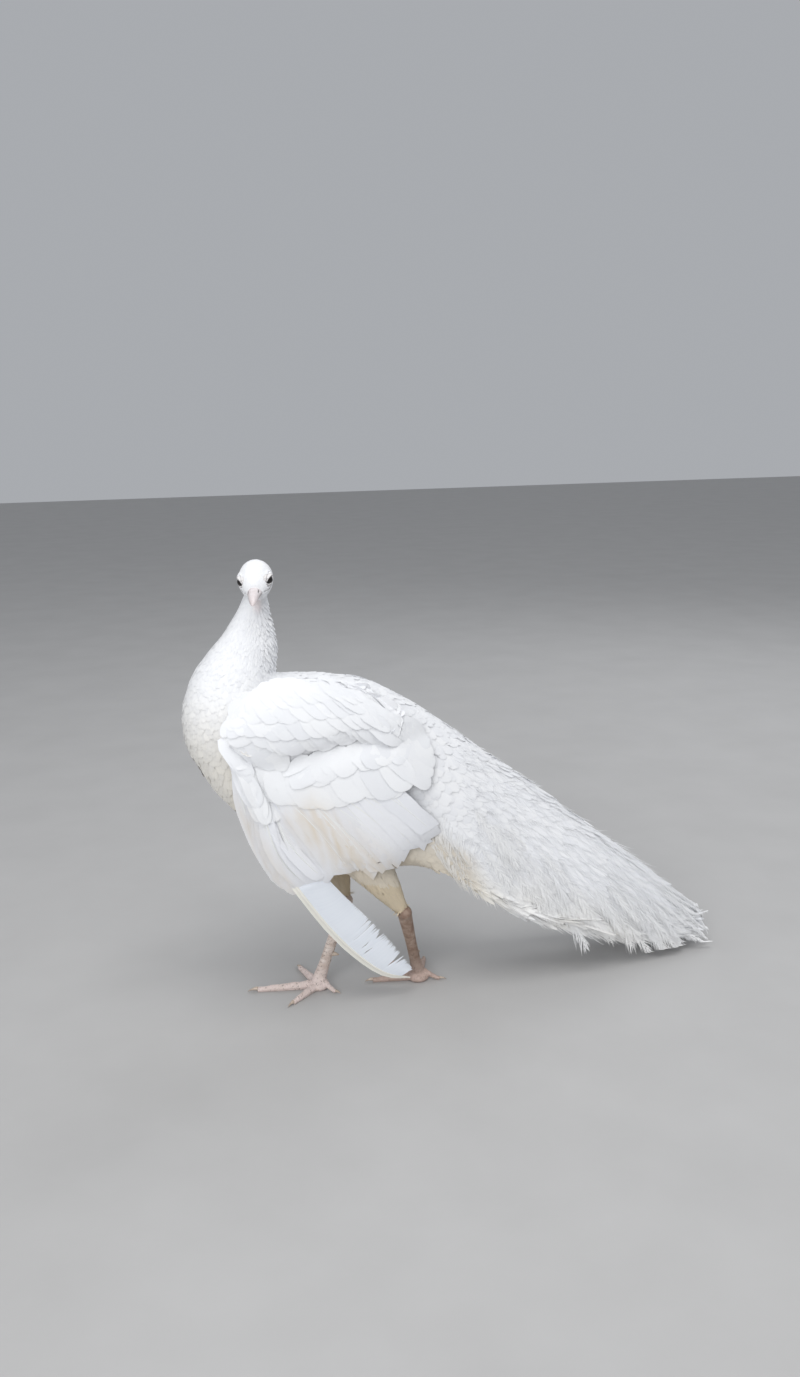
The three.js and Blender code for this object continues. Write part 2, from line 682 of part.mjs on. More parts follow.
for (const [name, leg] of Object.entries(LEGS)) {
  const shankCutter = shank(leg, GAP);
  const shin = largest(featheredShin(leg).subtract(bodyCutter).subtract(shankCutter));
  add(bird, `shin_${name}`, shin, shinFeather);
  add(bird, `shank_${name}`, shank(leg), scaledSkin);
  add(bird, `spur_${name}`, spur(leg), clawHorn);
  for (const digit of Object.keys(TOE_LENGTH)) {
    const placement = toePlacement(leg, digit);
    bird.add(placement);
    add(placement, `toe_${name}_${digit}`, cutInPlace(toe(digit), placement, shankCutter), scaledSkin);
    add(placement, `claw_${name}_${digit}`, claw(digit), clawHorn).position.x = TOE_LENGTH[digit] + GAP;
  }
}

// The origin is at the middle of the bird's footprint box, at floor level.
const box = new THREE.Box3().setFromObject(group, true);
const middle = box.getCenter(new THREE.Vector3());
bird.position.set(-middle.x, -middle.y, -box.min.z);

export default group;
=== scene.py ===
"""A white peacock, life size and standing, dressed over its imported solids.

Lengths are the bird's own millimetres: heading along -X, its left side along -Y, up along +Z,
with the middle of its feet near the origin. place() turns them into the model's metres.
"""

import json
import logging
import math
from dataclasses import dataclass, replace
from enum import Enum

import bpy
import numpy as np
from mathutils import Matrix, Vector
from mathutils.bvhtree import BVHTree
from mathutils.kdtree import KDTree

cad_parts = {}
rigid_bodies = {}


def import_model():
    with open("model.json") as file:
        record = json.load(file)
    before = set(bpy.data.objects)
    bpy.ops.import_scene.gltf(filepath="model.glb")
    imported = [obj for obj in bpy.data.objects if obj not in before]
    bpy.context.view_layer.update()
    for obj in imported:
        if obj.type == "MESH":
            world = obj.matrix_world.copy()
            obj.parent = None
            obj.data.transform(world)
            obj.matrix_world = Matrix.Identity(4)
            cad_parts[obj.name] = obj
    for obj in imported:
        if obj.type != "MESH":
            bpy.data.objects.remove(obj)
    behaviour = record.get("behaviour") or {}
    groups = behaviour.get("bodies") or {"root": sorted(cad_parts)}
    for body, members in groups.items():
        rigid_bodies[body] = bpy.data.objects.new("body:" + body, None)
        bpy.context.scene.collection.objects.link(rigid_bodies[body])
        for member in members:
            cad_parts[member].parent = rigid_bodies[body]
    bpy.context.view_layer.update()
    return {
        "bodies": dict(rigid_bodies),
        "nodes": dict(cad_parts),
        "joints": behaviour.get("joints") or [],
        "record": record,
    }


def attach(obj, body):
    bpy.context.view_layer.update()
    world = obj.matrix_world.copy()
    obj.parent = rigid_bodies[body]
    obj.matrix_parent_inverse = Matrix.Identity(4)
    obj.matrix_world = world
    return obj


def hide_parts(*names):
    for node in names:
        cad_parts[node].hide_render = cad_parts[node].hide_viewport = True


log = logging.getLogger("peacock")

ORIGIN = np.array((54.745, 1.16, 0.0))  # where the model's own origin lies, in the bird's millimetres
MM = 0.001
ROOT = "root"
MERGE = 0.00002  # how close the doubled vertices of a CAD node lie, in metres
PATCH = 0.0015  # how far a feather's colours spread over the skin's unwrap
ASIDE = 300.0  # further out to one side than any of the bird, in millimetres
Array = np.ndarray
Thing, Mesh, Socket, Material = bpy.types.Object, bpy.types.Mesh, bpy.types.NodeSocket, bpy.types.Material
Pair, Triple = tuple[float, float], tuple[float, float, float]


def place(points: object) -> Array:
    """Returns bird millimetres as model metres."""
    return (np.asarray(points, float) - ORIGIN) * MM


def bird(points: object) -> Array:
    """Returns model metres as bird millimetres."""
    return np.asarray(points, float) / MM + ORIGIN


def unit(v: Array) -> Array:
    """Returns the vectors scaled to length one."""
    return v / np.maximum(np.linalg.norm(v, axis=-1, keepdims=True), 1e-12)


def smooth(low: float, high: float, x: Array) -> Array:
    """Returns 0 below low, 1 above high, and an S curve between."""
    t = np.clip((np.asarray(x, float) - low) / (high - low), 0.0, 1.0)
    return t * t * (3.0 - 2.0 * t)


def bump(x: Array, breadth: float) -> Array:
    """Returns a bell curve, 1 where x is 0."""
    return np.exp(-((x / breadth) ** 2))


def between(ends: Pair, share: Array) -> Array:
    """Returns values from the first end to the last."""
    return ends[0] + (ends[1] - ends[0]) * share


def flattened(way: Array, out: Array) -> Array:
    """Returns directions laid flat on the surface whose normals are given."""
    return unit(way - out * (way * out).sum(1, keepdims=True))


def swung(way: Array, across: Array, turn: Array) -> Array:
    """Returns directions turned by angles towards the directions across them."""
    return way * np.cos(turn)[:, None] + across * np.sin(turn)[:, None]


def along(points: object, t: Array) -> Array:
    """Reads a smooth line through the points.

    Args:
        points: the line's points, (N, D).
        t: where to read it, 0 at the first point and 1 at the last.

    Returns:
        One point for each t.
    """
    p = np.asarray(points, float)
    p = p[:, None] if p.ndim == 1 else p
    p = np.vstack([2 * p[0] - p[1], p, 2 * p[-1] - p[-2]])
    s = np.clip(np.asarray(t, float), 0, 1) * (len(p) - 3)
    i = np.minimum(s.astype(int), len(p) - 4)
    f = (s - i)[..., None]
    a, b, c, d = p[i], p[i + 1], p[i + 2], p[i + 3]
    return 0.5 * (2 * b + (c - a) * f + (2 * a - 5 * b + 4 * c - d) * f**2 + (3 * b - a - 3 * c + d) * f**3)


# ---------------------------------------------------------------- the bird's measures


@dataclass(frozen=True)
class Head:
    """The head's own frame: x out along the bill, y to the bird's left, z up, from the head's middle."""

    centre: Triple = (-215.0, -24.0, 577.5)
    turn: float = 75.0
    nod: float = 10.0
    tilt: float = 4.0
    eye: float = 7.2
    eye_side: float = 15.0
    eye_up: float = 0.5
    gaze: float = 34.0  # how far each eye's opening turns forward

    def axes(self) -> Array:
        """Returns the frame's three axes as the columns of a matrix."""
        turn, nod, tilt = (math.radians(a) for a in (180 + self.turn, self.nod, self.tilt))
        m = Matrix.Rotation(turn, 3, "Z") @ Matrix.Rotation(nod, 3, "Y") @ Matrix.Rotation(tilt, 3, "X")
        return np.array(m)

    def out(self, points: object) -> Array:
        """Returns head millimetres as model metres."""
        return place(np.asarray(points, float) @ self.axes().T + np.asarray(self.centre))

    def inside(self, points: Array) -> Array:
        """Returns model metres as head millimetres."""
        return (bird(points) - np.asarray(self.centre)) @ self.axes()


HEAD = Head()


@dataclass(frozen=True)
class Station:
    """A section of the body, with the plumage that grows there."""

    back: Pair  # X and Z of the upper outline
    belly: Pair  # X and Z of the lower outline
    half: float  # half width
    length: float  # of a feather
    width: float  # of a feather
    gap: float  # between roots
    depth: float  # of the plumage over the skin


BODY = (
    Station((-196, 562), (-225, 560), 16, 7.5, 3.7, 1.75, 1.4),
    Station((-197, 533), (-240, 531), 21, 10.5, 4.7, 2.1, 1.9),
    Station((-189, 500), (-264, 499), 31, 13.5, 6.0, 2.55, 2.5),
    Station((-191, 473), (-292, 467), 43, 16.5, 8.0, 3.1, 3.1),
    Station((-189, 455), (-311, 425), 55, 19.0, 10.2, 4.0, 3.9),
    Station((-174, 453), (-313, 375), 66, 21.0, 14.0, 5.4, 4.8),
    Station((-146, 453), (-292, 326), 73, 24.0, 15.0, 6.4, 6.0),
    Station((-113, 448), (-256, 277), 78, 27.0, 16.0, 6.8, 6.0),
    Station((-66, 436), (-190, 226), 81, 31.0, 17.0, 7.2, 6.5),
    Station((-12, 406), (-106, 181), 78, 36.0, 17.0, 7.4, 7.0),
    Station((40, 368), (-30, 160), 72, 44.0, 16.0, 7.4, 7.5),
    Station((97, 323), (40, 137), 67, 54.0, 15.0, 7.4, 8.0),
    Station((155, 281), (96, 107), 63, 66.0, 14.0, 7.4, 8.5),
    Station((212, 233), (160, 82), 60, 78.0, 14.0, 7.6, 9.0),
    Station((270, 187), (224, 57), 56, 84.0, 14.0, 7.6, 9.0),
    Station((333, 136), (297, 33), 48, 78.0, 13.0, 7.4, 9.0),
    Station((385, 90), (357, 28), 37, 60.0, 12.0, 7.0, 9.0),
    Station((424, 52), (414, 32), 20, 42.0, 10.0, 6.5, 8.0),
)


def level(x: Array, part: str, first: int) -> Array:
    """Returns the height of the back or the belly over X, from one of the stations on."""
    return np.interp(x, *np.array([getattr(s, part) for s in BODY[first:]], float).T)


# the flank's edge, X and Z
FLANK = np.array(((-34, 262), (4, 233), (24, 214), (47, 197), (67, 180), (89, 163), (113, 146)), float)
# the knee and the hock of each leg
SHINS = (((-103, -45, 228), (-37, -47, 122)), ((-131, 42, 228), (-105, 11, 125)))


@dataclass(frozen=True)
class Growth:
    """How feathers grow at a set of points."""

    way: Array  # unit direction
    length: Array
    width: Array
    gap: Array
    depth: Array


class Lie:
    """The lie of the whole coat, read from guide points along the body, the head and the thighs."""

    def __init__(self) -> None:
        """Sets the guides out from the body's stations."""
        spots, ways, sizes = [], [], []
        back = np.array([s.back for s in BODY], float)
        belly = np.array([s.belly for s in BODY], float)
        middle = (back + belly) / 2
        for line, side_share, sink in (
            (back, 0.0, 0.0), (belly, 0.0, 0.0), (middle, 1.0, -0.10), (middle, -1.0, -0.10)
        ):
            heading = np.gradient(line, axis=0)
            for s, (x, z), (dx, dz) in zip(BODY, line, heading):
                way = unit(np.array((dx, 0.0, dz)))
                spots.append((x, side_share * s.half, z))
                ways.append(
                    unit(
                        way
                        + np.array((0, 0, np.interp(x, (-200, -190, 10, 60), (0, sink, sink, 2.4 * sink))))
                    )
                )
                sizes.append((s.length, s.width, s.gap, s.depth))
        for x, y, z, (ahead, aside, up), size in (
            (22, 0, 2, (-0.55, 0, 0.8), (2.6, 1.8, 1.05, 0.5)),
            (20, 9, -6, (-1, 0.5, 0.1), (2.6, 1.8, 1.05, 0.5)),
            (16, 0, -18, (-0.9, 0, -0.5), (2.8, 1.9, 1.1, 0.55)),
            (6, 0, 20, (-1, 0, 0.15), (3.2, 2.1, 1.2, 0.65)),
            (-16, 0, 23, (-1, 0, -0.2), (3.8, 2.5, 1.35, 0.8)),
            (0, 21, 0, (-1, 0, -0.05), (2.8, 1.9, 1.1, 0.55)),
            (-16, 21, -2, (-1, 0, -0.3), (3.8, 2.5, 1.35, 0.8)),
            (-2, 13, -18, (-0.9, 0, -0.55), (3.4, 2.2, 1.25, 0.7)),
            (-34, 0, 4, (-0.45, 0, -1), (5.0, 3.3, 1.65, 1.1)),
            (-22, 14, -16, (-0.5, 0, -1), (4.6, 3.1, 1.55, 1.0)),
        ):
            for side in (1, -1) if y else (1,):
                spots.append(HEAD.axes() @ np.array((x, side * y, z)) + np.array(HEAD.centre))
                ways.append(HEAD.axes() @ unit(np.array((ahead, side * aside, up), float)))
                sizes.append(size)
        for knee, hock in np.array(SHINS, float):
            for t, size in (
                (0.5, (15, 6.5, 3.4, 3.6)), (0.65, (12, 4.6, 2.7, 2.8)), (0.8, (10, 3.8, 2.1, 2.3)),
                (0.95, (11, 3.6, 1.9, 2.0))
            ):
                spots.append(knee + (hock - knee) * t)
                ways.append(unit(hock - knee))
                sizes.append(size)
        self.spots, self.ways, self.sizes = (np.array(a, float) for a in (spots, ways, sizes))

    def read(self, points: Array) -> Growth:
        """Returns how feathers grow at points of the body given in bird millimetres."""
        away = ((points[:, None, :] - self.spots[None]) ** 2).sum(-1)
        weight = 1.0 / (away + 4.0) ** 2.2
        weight /= weight.sum(1, keepdims=True)
        length, width, gap, depth = (weight @ self.sizes).T
        return Growth(unit(weight @ self.ways), length, width, gap, depth)


LIE = Lie()


def tint(points: Array) -> Array:
    """Returns the plumage's colour: clean white above, creamy below, sandy on the belly, and painted shade
    on the belly and under the flank.

    Args:
        points: places in bird millimetres, (N, 3).

    Returns:
        Linear red, green and blue, (N, 3).
    """
    x, y, z = points.T
    white = np.array((0.925, 0.93, 0.945))
    cream = np.array((0.87, 0.83, 0.745))
    sand = np.array((0.74, 0.64, 0.50))
    middle = np.interp(
        x, [s.back[0] / 2 + s.belly[0] / 2 for s in BODY[4:]],
        [s.back[1] / 2 + s.belly[1] / 2 for s in BODY[4:]]
    )
    below = (middle - z) / 90.0
    breast = smooth(470, 330, z) * smooth(-180, -270, x) * 0.55
    belly = smooth(0.45, 1.15, below) * smooth(-300, -230, x) * smooth(150, 20, x)
    train = smooth(0.1, 0.8, below) * smooth(60, 200, x) * 0.34
    wander = 0.5 + 0.5 * np.sin(x * 0.045 + 1.3 * np.sin(z * 0.031)) * np.sin(z * 0.052 + y * 0.02)
    warm = np.clip(np.maximum(np.maximum(breast, belly), train * (0.4 + 0.9 * wander)), 0, 1)
    colour = white + (cream - white) * np.clip(warm * 1.5, 0, 1)[:, None]
    # the belly's sand is partly the down's own tint and partly painted shade under the body
    colour = colour + (sand - colour) * (belly * smooth(-330, -60, x) * smooth(80, 10, x) * 0.9)[:, None]
    # painted shade under the wing's edge: the down under the flank, ahead of the curtain of barbs, is
    # darkened to a dull sand
    under = (
        smooth(16, -4, z - np.interp(x, FLANK[:, 0], FLANK[:, 1])) * smooth(-120, -60, x)
        * smooth(80, 30, x)
    )
    colour = colour + (np.array((0.68, 0.61, 0.50)) - colour) * (under * 0.85)[:, None]
    throat = np.linalg.norm(
        (HEAD.inside(place(points)) - np.array((6, 0, -30))) / np.array((12, 9, 13)), axis=1
    )
    return colour + (np.array((0.86, 0.72, 0.70)) - colour) * (smooth(1.3, 0.3, throat) * 0.7)[:, None]


def train_tint(points: Array) -> Array:
    """Returns the colour of the train's loose plumes, whiter than the down beneath them."""
    return 0.45 * tint(points) + 0.55 * np.array((0.92, 0.92, 0.915))


def wing_tint(points: Array) -> Array:
    """Returns the wing feathers' colour over bird millimetres: cool white, sandy on the lower quills."""
    x, y, z = points.T
    white, sand = np.array((0.92, 0.928, 0.945)), np.array((0.80, 0.715, 0.59))
    left = smooth(-20, -40, y)
    run = (x + 190) * 0.72 - (z - 300) * 0.70  # down along the quills
    across = (x + 157) * 0.70 + (z - 267) * 0.72
    soiled = bump(across, 27.0) * smooth(-15, 25, run) * 1.1
    front = bump(x + 232 + (z - 248) * 0.52, 13.0) * smooth(335, 290, z) * 0.75
    streak = 0.62 + 0.22 * np.sin(across * 0.62 + np.sin(run * 0.05)) + 0.16 * np.sin(across * 1.37 + 2.0)
    return white + (sand - white) * (np.clip(np.maximum(soiled, front) * streak, 0, 1) * left)[:, None]


def cool_white(points: Array) -> Array:
    """Returns one cool white for every place."""
    return np.broadcast_to(np.array((0.90, 0.918, 0.945)), points.shape)


def settled(points: Array) -> Array:
    """Returns bird millimetres, the right shoulder's rim lowered and the left wing's front drawn back."""
    x, y, z = np.moveaxis(points, -1, 0)
    fall = 20.0 * smooth(419, 456, z) * smooth(-36, -96, x) * smooth(-262, -215, x) * smooth(34, 48, y)
    back = 16.0 * smooth(-196, -264, x) * smooth(392, 345, z) * smooth(172, 222, z) * smooth(-44, -62, y)
    return np.stack([x + back, y, z - fall], -1)


# ---------------------------------------------------------------- finishes


class Nodes:
    """A material's node tree, with short ways to add and join nodes."""

    def __init__(self, name: str) -> None:
        """Starts a material of that name with one shader."""
        self.material = bpy.data.materials.new(name)
        self.material.use_nodes = True
        self.tree = self.material.node_tree
        self.shader = self.tree.nodes["Principled BSDF"]

    def add(
        self, kind: str, inputs: dict[object, object] | None = None, **settings: object
    ) -> bpy.types.Node:
        """Adds a node.

        Args:
            kind: the node's type without the words ShaderNode.
            inputs: values or sockets for its inputs, by name or place.
            settings: the node's own settings.

        Returns:
            The new node.
        """
        node = self.tree.nodes.new("ShaderNode" + kind)
        for key, value in settings.items():
            setattr(node, key, value)
        for key, value in (inputs or {}).items():
            if isinstance(value, Socket):
                self.tree.links.new(value, node.inputs[key])
            else:
                node.inputs[key].default_value = value
        return node

    def number(self, name: str) -> Socket:
        """Reads one of the mesh's own numbers."""
        return self.add("Attribute", attribute_name=name).outputs["Fac"]

    def tint(self) -> Socket:
        """Reads the mesh's own colour."""
        return self.add("Attribute", attribute_name="Tint").outputs["Color"]

    def spot(self) -> Socket:
        """Reads the place on the object."""
        return self.add("TexCoord").outputs["Object"]

    def maths(self, operation: str, *values: object) -> Socket:
        """Adds a Math node and returns its output."""
        return self.add("Math", dict(enumerate(values)), operation=operation).outputs[0]

    def times(self, a: object, b: object) -> Socket:
        """Multiplies two values."""
        return self.maths("MULTIPLY", a, b)

    def plus(self, a: object, b: object) -> Socket:
        """Adds two values."""
        return self.maths("ADD", a, b)

    def blend(self, factor: object, a: object, b: object, how: str = "MIX") -> Socket:
        """Adds a colour Mix node and returns its output."""
        inputs = {0: factor, 6: a, 7: b}
        return self.add("Mix", inputs, data_type="RGBA", blend_type=how).outputs[2]

    def ramp(self, value: object, stops: list[tuple[float, object]]) -> Socket:
        """Adds a Color Ramp with the stops given and returns its colour."""
        node = self.add("ValToRGB", {0: value})
        for k, (at, colour) in enumerate(stops):
            stop = node.color_ramp.elements[k] if k < 2 else node.color_ramp.elements.new(at)
            stop.position = at
            stop.color = (*colour, 1) if isinstance(colour, tuple) else (colour, colour, colour, 1)
        return node.outputs[0]

    def noise(
        self, scale: float, detail: float = 3.0, vector: object = None, rough: float = 0.55
    ) -> Socket:
        """Adds a Noise Texture on the object's own place, or on the vector given, and returns its value."""
        at = vector or self.spot()
        return self.add(
            "TexNoise", {"Vector": at, "Scale": scale, "Detail": detail, "Roughness": rough}
        ).outputs[0]

    def finish(
        self, colour: object, rough: object, height: object = None, strength: float = 0.3,
        distance: float = 0.0004, **sockets: object
    ) -> Material:
        """Joins colour, roughness and bump to the shader.

        Args:
            colour: the base colour or its socket.
            rough: the roughness or its socket.
            height: the bump's height socket.
            strength: the bump's strength.
            distance: the bump's depth in metres.
            sockets: fixed values of other shader sockets, with underscores for spaces.

        Returns:
            The material.
        """
        for name, value in {"Base Color": colour, "Roughness": rough}.items():
            if isinstance(value, Socket):
                self.tree.links.new(value, self.shader.inputs[name])
            else:
                self.shader.inputs[name].default_value = value
        for name, value in sockets.items():
            self.shader.inputs[name.replace("_", " ")].default_value = value
        if height is not None:
            bump = self.add("Bump", {"Height": height, "Strength": strength, "Distance": distance})
            self.tree.links.new(bump.outputs[0], self.shader.inputs["Normal"])
        return self.material


@dataclass(frozen=True)
class Plumage:
    """White feathers: the tint of the place, a little variety from feather to feather, and fine barbs."""

    name: str = "plumage"
    barb: float = 0.9  # millimetres from barb to barb
    strength: float = 0.35
    tone: Triple = (1.0, 1.0, 1.0)

    def material(self) -> Material:
        """Returns the feathers' material."""
        n = Nodes(self.name)
        vane = n.add("UVMap", uv_map="Vane").outputs[0]
        split = n.add("SeparateXYZ", {0: vane})
        slant = n.maths("SUBTRACT", split.outputs[1], n.times(n.maths("ABSOLUTE", split.outputs[0]), 0.75))
        wobble = n.times(n.noise(3.0, 2.0, vane), 0.16)
        wave = n.maths("SINE", n.times(n.plus(slant, wobble), 2 * math.pi * 10 / self.barb))
        clump = n.noise(260.0, 3.0)
        height = n.plus(n.times(wave, 0.35), clump)
        colour = n.tint()
        shade = n.number("Shade")
        colour = n.blend(
            1.0, colour, n.ramp(shade, [(0.0, (0.93, 0.935, 0.95)), (1.0, (1.0, 1.0, 1.0))]), "MULTIPLY"
        )
        colour = n.blend(n.times(n.noise(38.0, 4.0), 0.10), colour, (0.80, 0.78, 0.72, 1))
        colour = n.blend(1.0, colour, (*self.tone, 1), "MULTIPLY")
        return n.finish(
            colour, 0.62, height, self.strength, 0.0003, Sheen_Weight=0.15, Sheen_Roughness=0.5,
            Specular_IOR_Level=0.25
        )


@dataclass(frozen=True)
class BareSkin:
    """The skin under the coat: the coat's own tint, pinkish white where the face is bare, and painted shade
    in the fold behind the mouth.
    """

    name: str = "bare_skin"

    def material(self) -> Material:
        """Returns the skin's material."""
        n = Nodes(self.name)
        colour = n.tint()
        bare = n.number("Bare")
        fine, grain = n.noise(900.0, 4.0), n.noise(150.0, 3.0)
        colour = n.blend(
            bare, colour, n.ramp(grain, [(0.3, (0.80, 0.77, 0.76)), (0.7, (0.90, 0.89, 0.89))])
        )
        fold = n.number("FoldShade")
        lore = n.number("Lore")
        colour = n.blend(n.times(lore, 0.75), colour, (0.36, 0.34, 0.345, 1))
        # painted shade: near black in the crease of the fold behind the mouth
        colour = n.blend(fold, colour, (0.10, 0.075, 0.07, 1))
        pores = n.add("TexVoronoi", {"Vector": n.spot(), "Scale": 1100.0}).outputs[0]
        height = n.plus(n.times(pores, 0.5), fine)
        return n.finish(
            colour, n.maths("MULTIPLY_ADD", fine, 0.2, 0.45), height, 0.35, 0.0004, Specular_IOR_Level=0.35
        )


@dataclass(frozen=True)
class Scales:
    """Scaly leg skin: plates in front and on the toes, small scales behind, darker in the grooves and
    hollows between them, and specks of dirt.
    """

    name: str
    light: Triple
    dark: Triple
    foot: Triple
    dirt: float

    def material(self) -> Material:
        """Returns the leg's material."""
        n = Nodes(self.name)
        at = n.spot()
        scute = n.number("Scute")
        cells = n.add("TexVoronoi", {"Vector": at, "Scale": 420.0}, feature="DISTANCE_TO_EDGE").outputs[0]
        edge = n.ramp(cells, [(0.0, 0.0), (0.12, 1.0)])
        colour = n.blend(
            n.ramp(n.noise(120.0, 4.0), [(0.35, 0.0), (0.65, 1.0)]), (*self.dark, 1), (*self.light, 1)
        )
        # darker in the grooves between the plates and in the hollows between the knobs
        colour = n.blend(
            n.times(n.maths("SUBTRACT", 1.0, scute), 0.6), colour, (*(c * 0.55 for c in self.dark), 1)
        )
        high = n.add("MapRange", {0: n.add("SeparateXYZ", {0: at}).outputs[2], 1: 0.045, 2: 0.012})
        colour = n.blend(
            n.times(high.outputs[0], n.ramp(n.noise(160.0), [(0.3, 0.5), (0.6, 1.0)])), colour,
            (*self.foot, 1)
        )
        specks = n.ramp(n.noise(330.0, 6.0, rough=0.7), [(0.56, 0.0), (0.66, 1.0)])
        colour = n.blend(n.times(specks, self.dirt), colour, (0.10, 0.075, 0.055, 1))
        height = n.plus(n.times(edge, 0.5), n.plus(scute, n.noise(700.0, 3.0)))
        return n.finish(
            colour, n.ramp(n.noise(200.0), [(0.3, 0.42), (0.7, 0.62)]), height, 0.55, 0.0005,
            Specular_IOR_Level=0.4
        )


@dataclass(frozen=True)
class Horn:
    """Pale horn of the bill, claws and spurs, darker towards the tip and streaked along its length."""

    name: str
    pale: Triple = (0.80, 0.745, 0.75)
    deep: Triple = (0.60, 0.51, 0.50)

    def material(self) -> Material:
        """Returns the horn's material."""
        n = Nodes(self.name)
        wear = n.number("Wear")
        streak = n.noise(240.0, 5.0)
        colour = n.blend(
            n.ramp(streak, [(0.35, 0.0), (0.7, 1.0)]), (*self.pale, 1),
            (*(0.5 * (a + b) for a, b in zip(self.pale, self.deep)), 1)
        )
        colour = n.blend(wear, colour, (*self.deep, 1))
        # painted shade: near black in the nostril slits and where the mandibles meet at the gape
        colour = n.blend(n.number("NostrilGapeShade"), colour, (0.02, 0.014, 0.013, 1))
        return n.finish(
            colour, n.ramp(streak, [(0.2, 0.28), (0.8, 0.5)]), n.noise(800.0, 3.0), 0.2, 0.0003,
            Specular_IOR_Level=0.5, Coat_Weight=0.15
        )


@dataclass(frozen=True)
class Eye:
    """A dark brown eye under a clear wet coat."""

    name: str = "eye_finish"

    def material(self) -> Material:
        """Returns the eye's material."""
        n = Nodes(self.name)
        iris = n.number("Iris")
        streak = n.noise(1800.0, 3.0)
        ring = n.ramp(
            iris,
            [
                (0.0, (0.002, 0.002, 0.002)), (0.44, (0.002, 0.002, 0.002)), (0.5, (0.016, 0.009, 0.006)),
                (0.8, (0.008, 0.005, 0.004)), (1.0, (0.004, 0.003, 0.003))
            ]
        )
        return n.finish(
            n.blend(n.times(streak, 0.4), ring, (0.0, 0.0, 0.0, 1)), 0.15, None, Coat_Weight=0.5,
            Coat_Roughness=0.04, Specular_IOR_Level=0.3
        )


@dataclass(frozen=True)
class Ground:
    """The studio's plain pale floor."""

    name: str = "studio_floor"

    def material(self) -> Material:
        """Returns the floor's material."""
        n = Nodes(self.name)
        return n.finish(
            n.ramp(n.noise(6.0, 5.0), [(0.3, (0.47, 0.465, 0.46)), (0.7, (0.50, 0.495, 0.49))]), 0.85,
            n.noise(90.0, 4.0), 0.08, 0.001
        )


WHITE = Plumage()
QUILLS = Plumage("flight_feathers", barb=1.1, strength=0.5, tone=(0.985, 0.985, 1.0))
SHIN = Plumage("shin_feathers", barb=0.7, strength=0.4, tone=(0.98, 0.93, 0.83))


# ---------------------------------------------------------------- mesh making


def cells(size: tuple[int, int], u: Array, v: Array) -> tuple[Array, Array, Array, Array]:
    """Returns the cell of a grid that each place lies in, and how far across the cell it lies."""
    u, v = (np.clip(w, 0, most - 1.001) for w, most in zip((u, v), size))
    i, j = u.astype(int), v.astype(int)
    return i, j, u - i, v - j


def mode(name: str) -> None:
    """Switches between editing a mesh and working with objects."""
    bpy.ops.object.mode_set(mode=name)


def deselect() -> None:
    """Leaves nothing selected, in object mode."""
    if bpy.context.object and bpy.context.object.mode != "OBJECT":
        mode("OBJECT")
    bpy.ops.object.select_all(action="DESELECT")


def activate(obj: Thing) -> None:
    """Selects one object alone and makes it the active one."""
    deselect()
    obj.select_set(True)
    bpy.context.view_layer.objects.active = obj


def mesh_object(name: str, verts: Array, faces: list[Array], finish: object) -> Thing:
    """Makes an object from arrays of vertices and faces.

    Args:
        name: the object's name.
        verts: places in metres, (N, 3).
        faces: arrays of vertex numbers, each (F, corners), that may differ in corners.
        finish: a finish with a material method, or a material.

    Returns:
        The new object, linked to the scene.
    """
    mesh = bpy.data.meshes.new(name)
    mesh.vertices.add(len(verts))
    mesh.vertices.foreach_set("co", np.ascontiguousarray(verts, np.float32).ravel())
    loops = np.concatenate([f.ravel() for f in faces]).astype(np.int32)
    sizes = np.concatenate([np.full(len(f), f.shape[1]) for f in faces])
    mesh.loops.add(len(loops))
    mesh.loops.foreach_set("vertex_index", loops)
    mesh.polygons.add(len(sizes))
    mesh.polygons.foreach_set("loop_start", np.concatenate([[0], np.cumsum(sizes)[:-1]]).astype(np.int32))
    mesh.update(calc_edges=True)
    mesh.validate()
    finish_faces(mesh, finish)
    mesh.set_sharp_from_angle(angle=math.radians(60))
    obj = bpy.data.objects.new(name, mesh)
    bpy.context.scene.collection.objects.link(obj)
    return obj


_made: dict[object, Material] = {}


def dressed(finish: object) -> Material:
    """Returns a finish's material, made once."""
    if isinstance(finish, Material):
        return finish
    if finish not in _made:
        _made[finish] = finish.material()
    return _made[finish]


def finish_faces(mesh: Mesh, finish: object) -> None:
    """Gives a mesh its finish, and smooth faces."""
    mesh.materials.append(dressed(finish))
    mesh.polygons.foreach_set("use_smooth", np.ones(len(mesh.polygons), bool))


def read_items(items: object, key: str, width: int, kind: type = np.float32) -> Array:
    """Reads one property of every item of a mesh, as rows of that width."""
    found = np.empty(len(items) * width, kind)
    items.foreach_get(key, found)
    return found.reshape(-1, width)


def put_uv(mesh: Mesh, name: str, per_vertex: Array) -> None:
    """Writes a UV map from one pair of numbers for each vertex."""
    layer = mesh.uv_layers.new(name=name)
    index = read_items(mesh.loops, "vertex_index", 1, np.int32)[:, 0]
    layer.data.foreach_set("uv", np.ascontiguousarray(per_vertex[index], np.float32).ravel())


def put_value(mesh: Mesh, name: str, values: Array) -> None:
    """Writes a number for each vertex."""
    mesh.attributes.new(name, "FLOAT", "POINT").data.foreach_set(
        "value", np.ascontiguousarray(values, np.float32)
    )


def put_tint(mesh: Mesh, points: Array, stain: object = tint) -> None:
    """Writes the plumage's colour for each vertex, from places in metres."""
    rgba = np.ones((len(points), 4), np.float32)
    rgba[:, :3] = stain(bird(points))
    mesh.attributes.new("Tint", "FLOAT_COLOR", "POINT").data.foreach_set("color", rgba.ravel())


def vertices(mesh: Mesh) -> Array:
    """Returns a mesh's vertices, (N, 3)."""
    return read_items(mesh.vertices, "co", 3).astype(float)


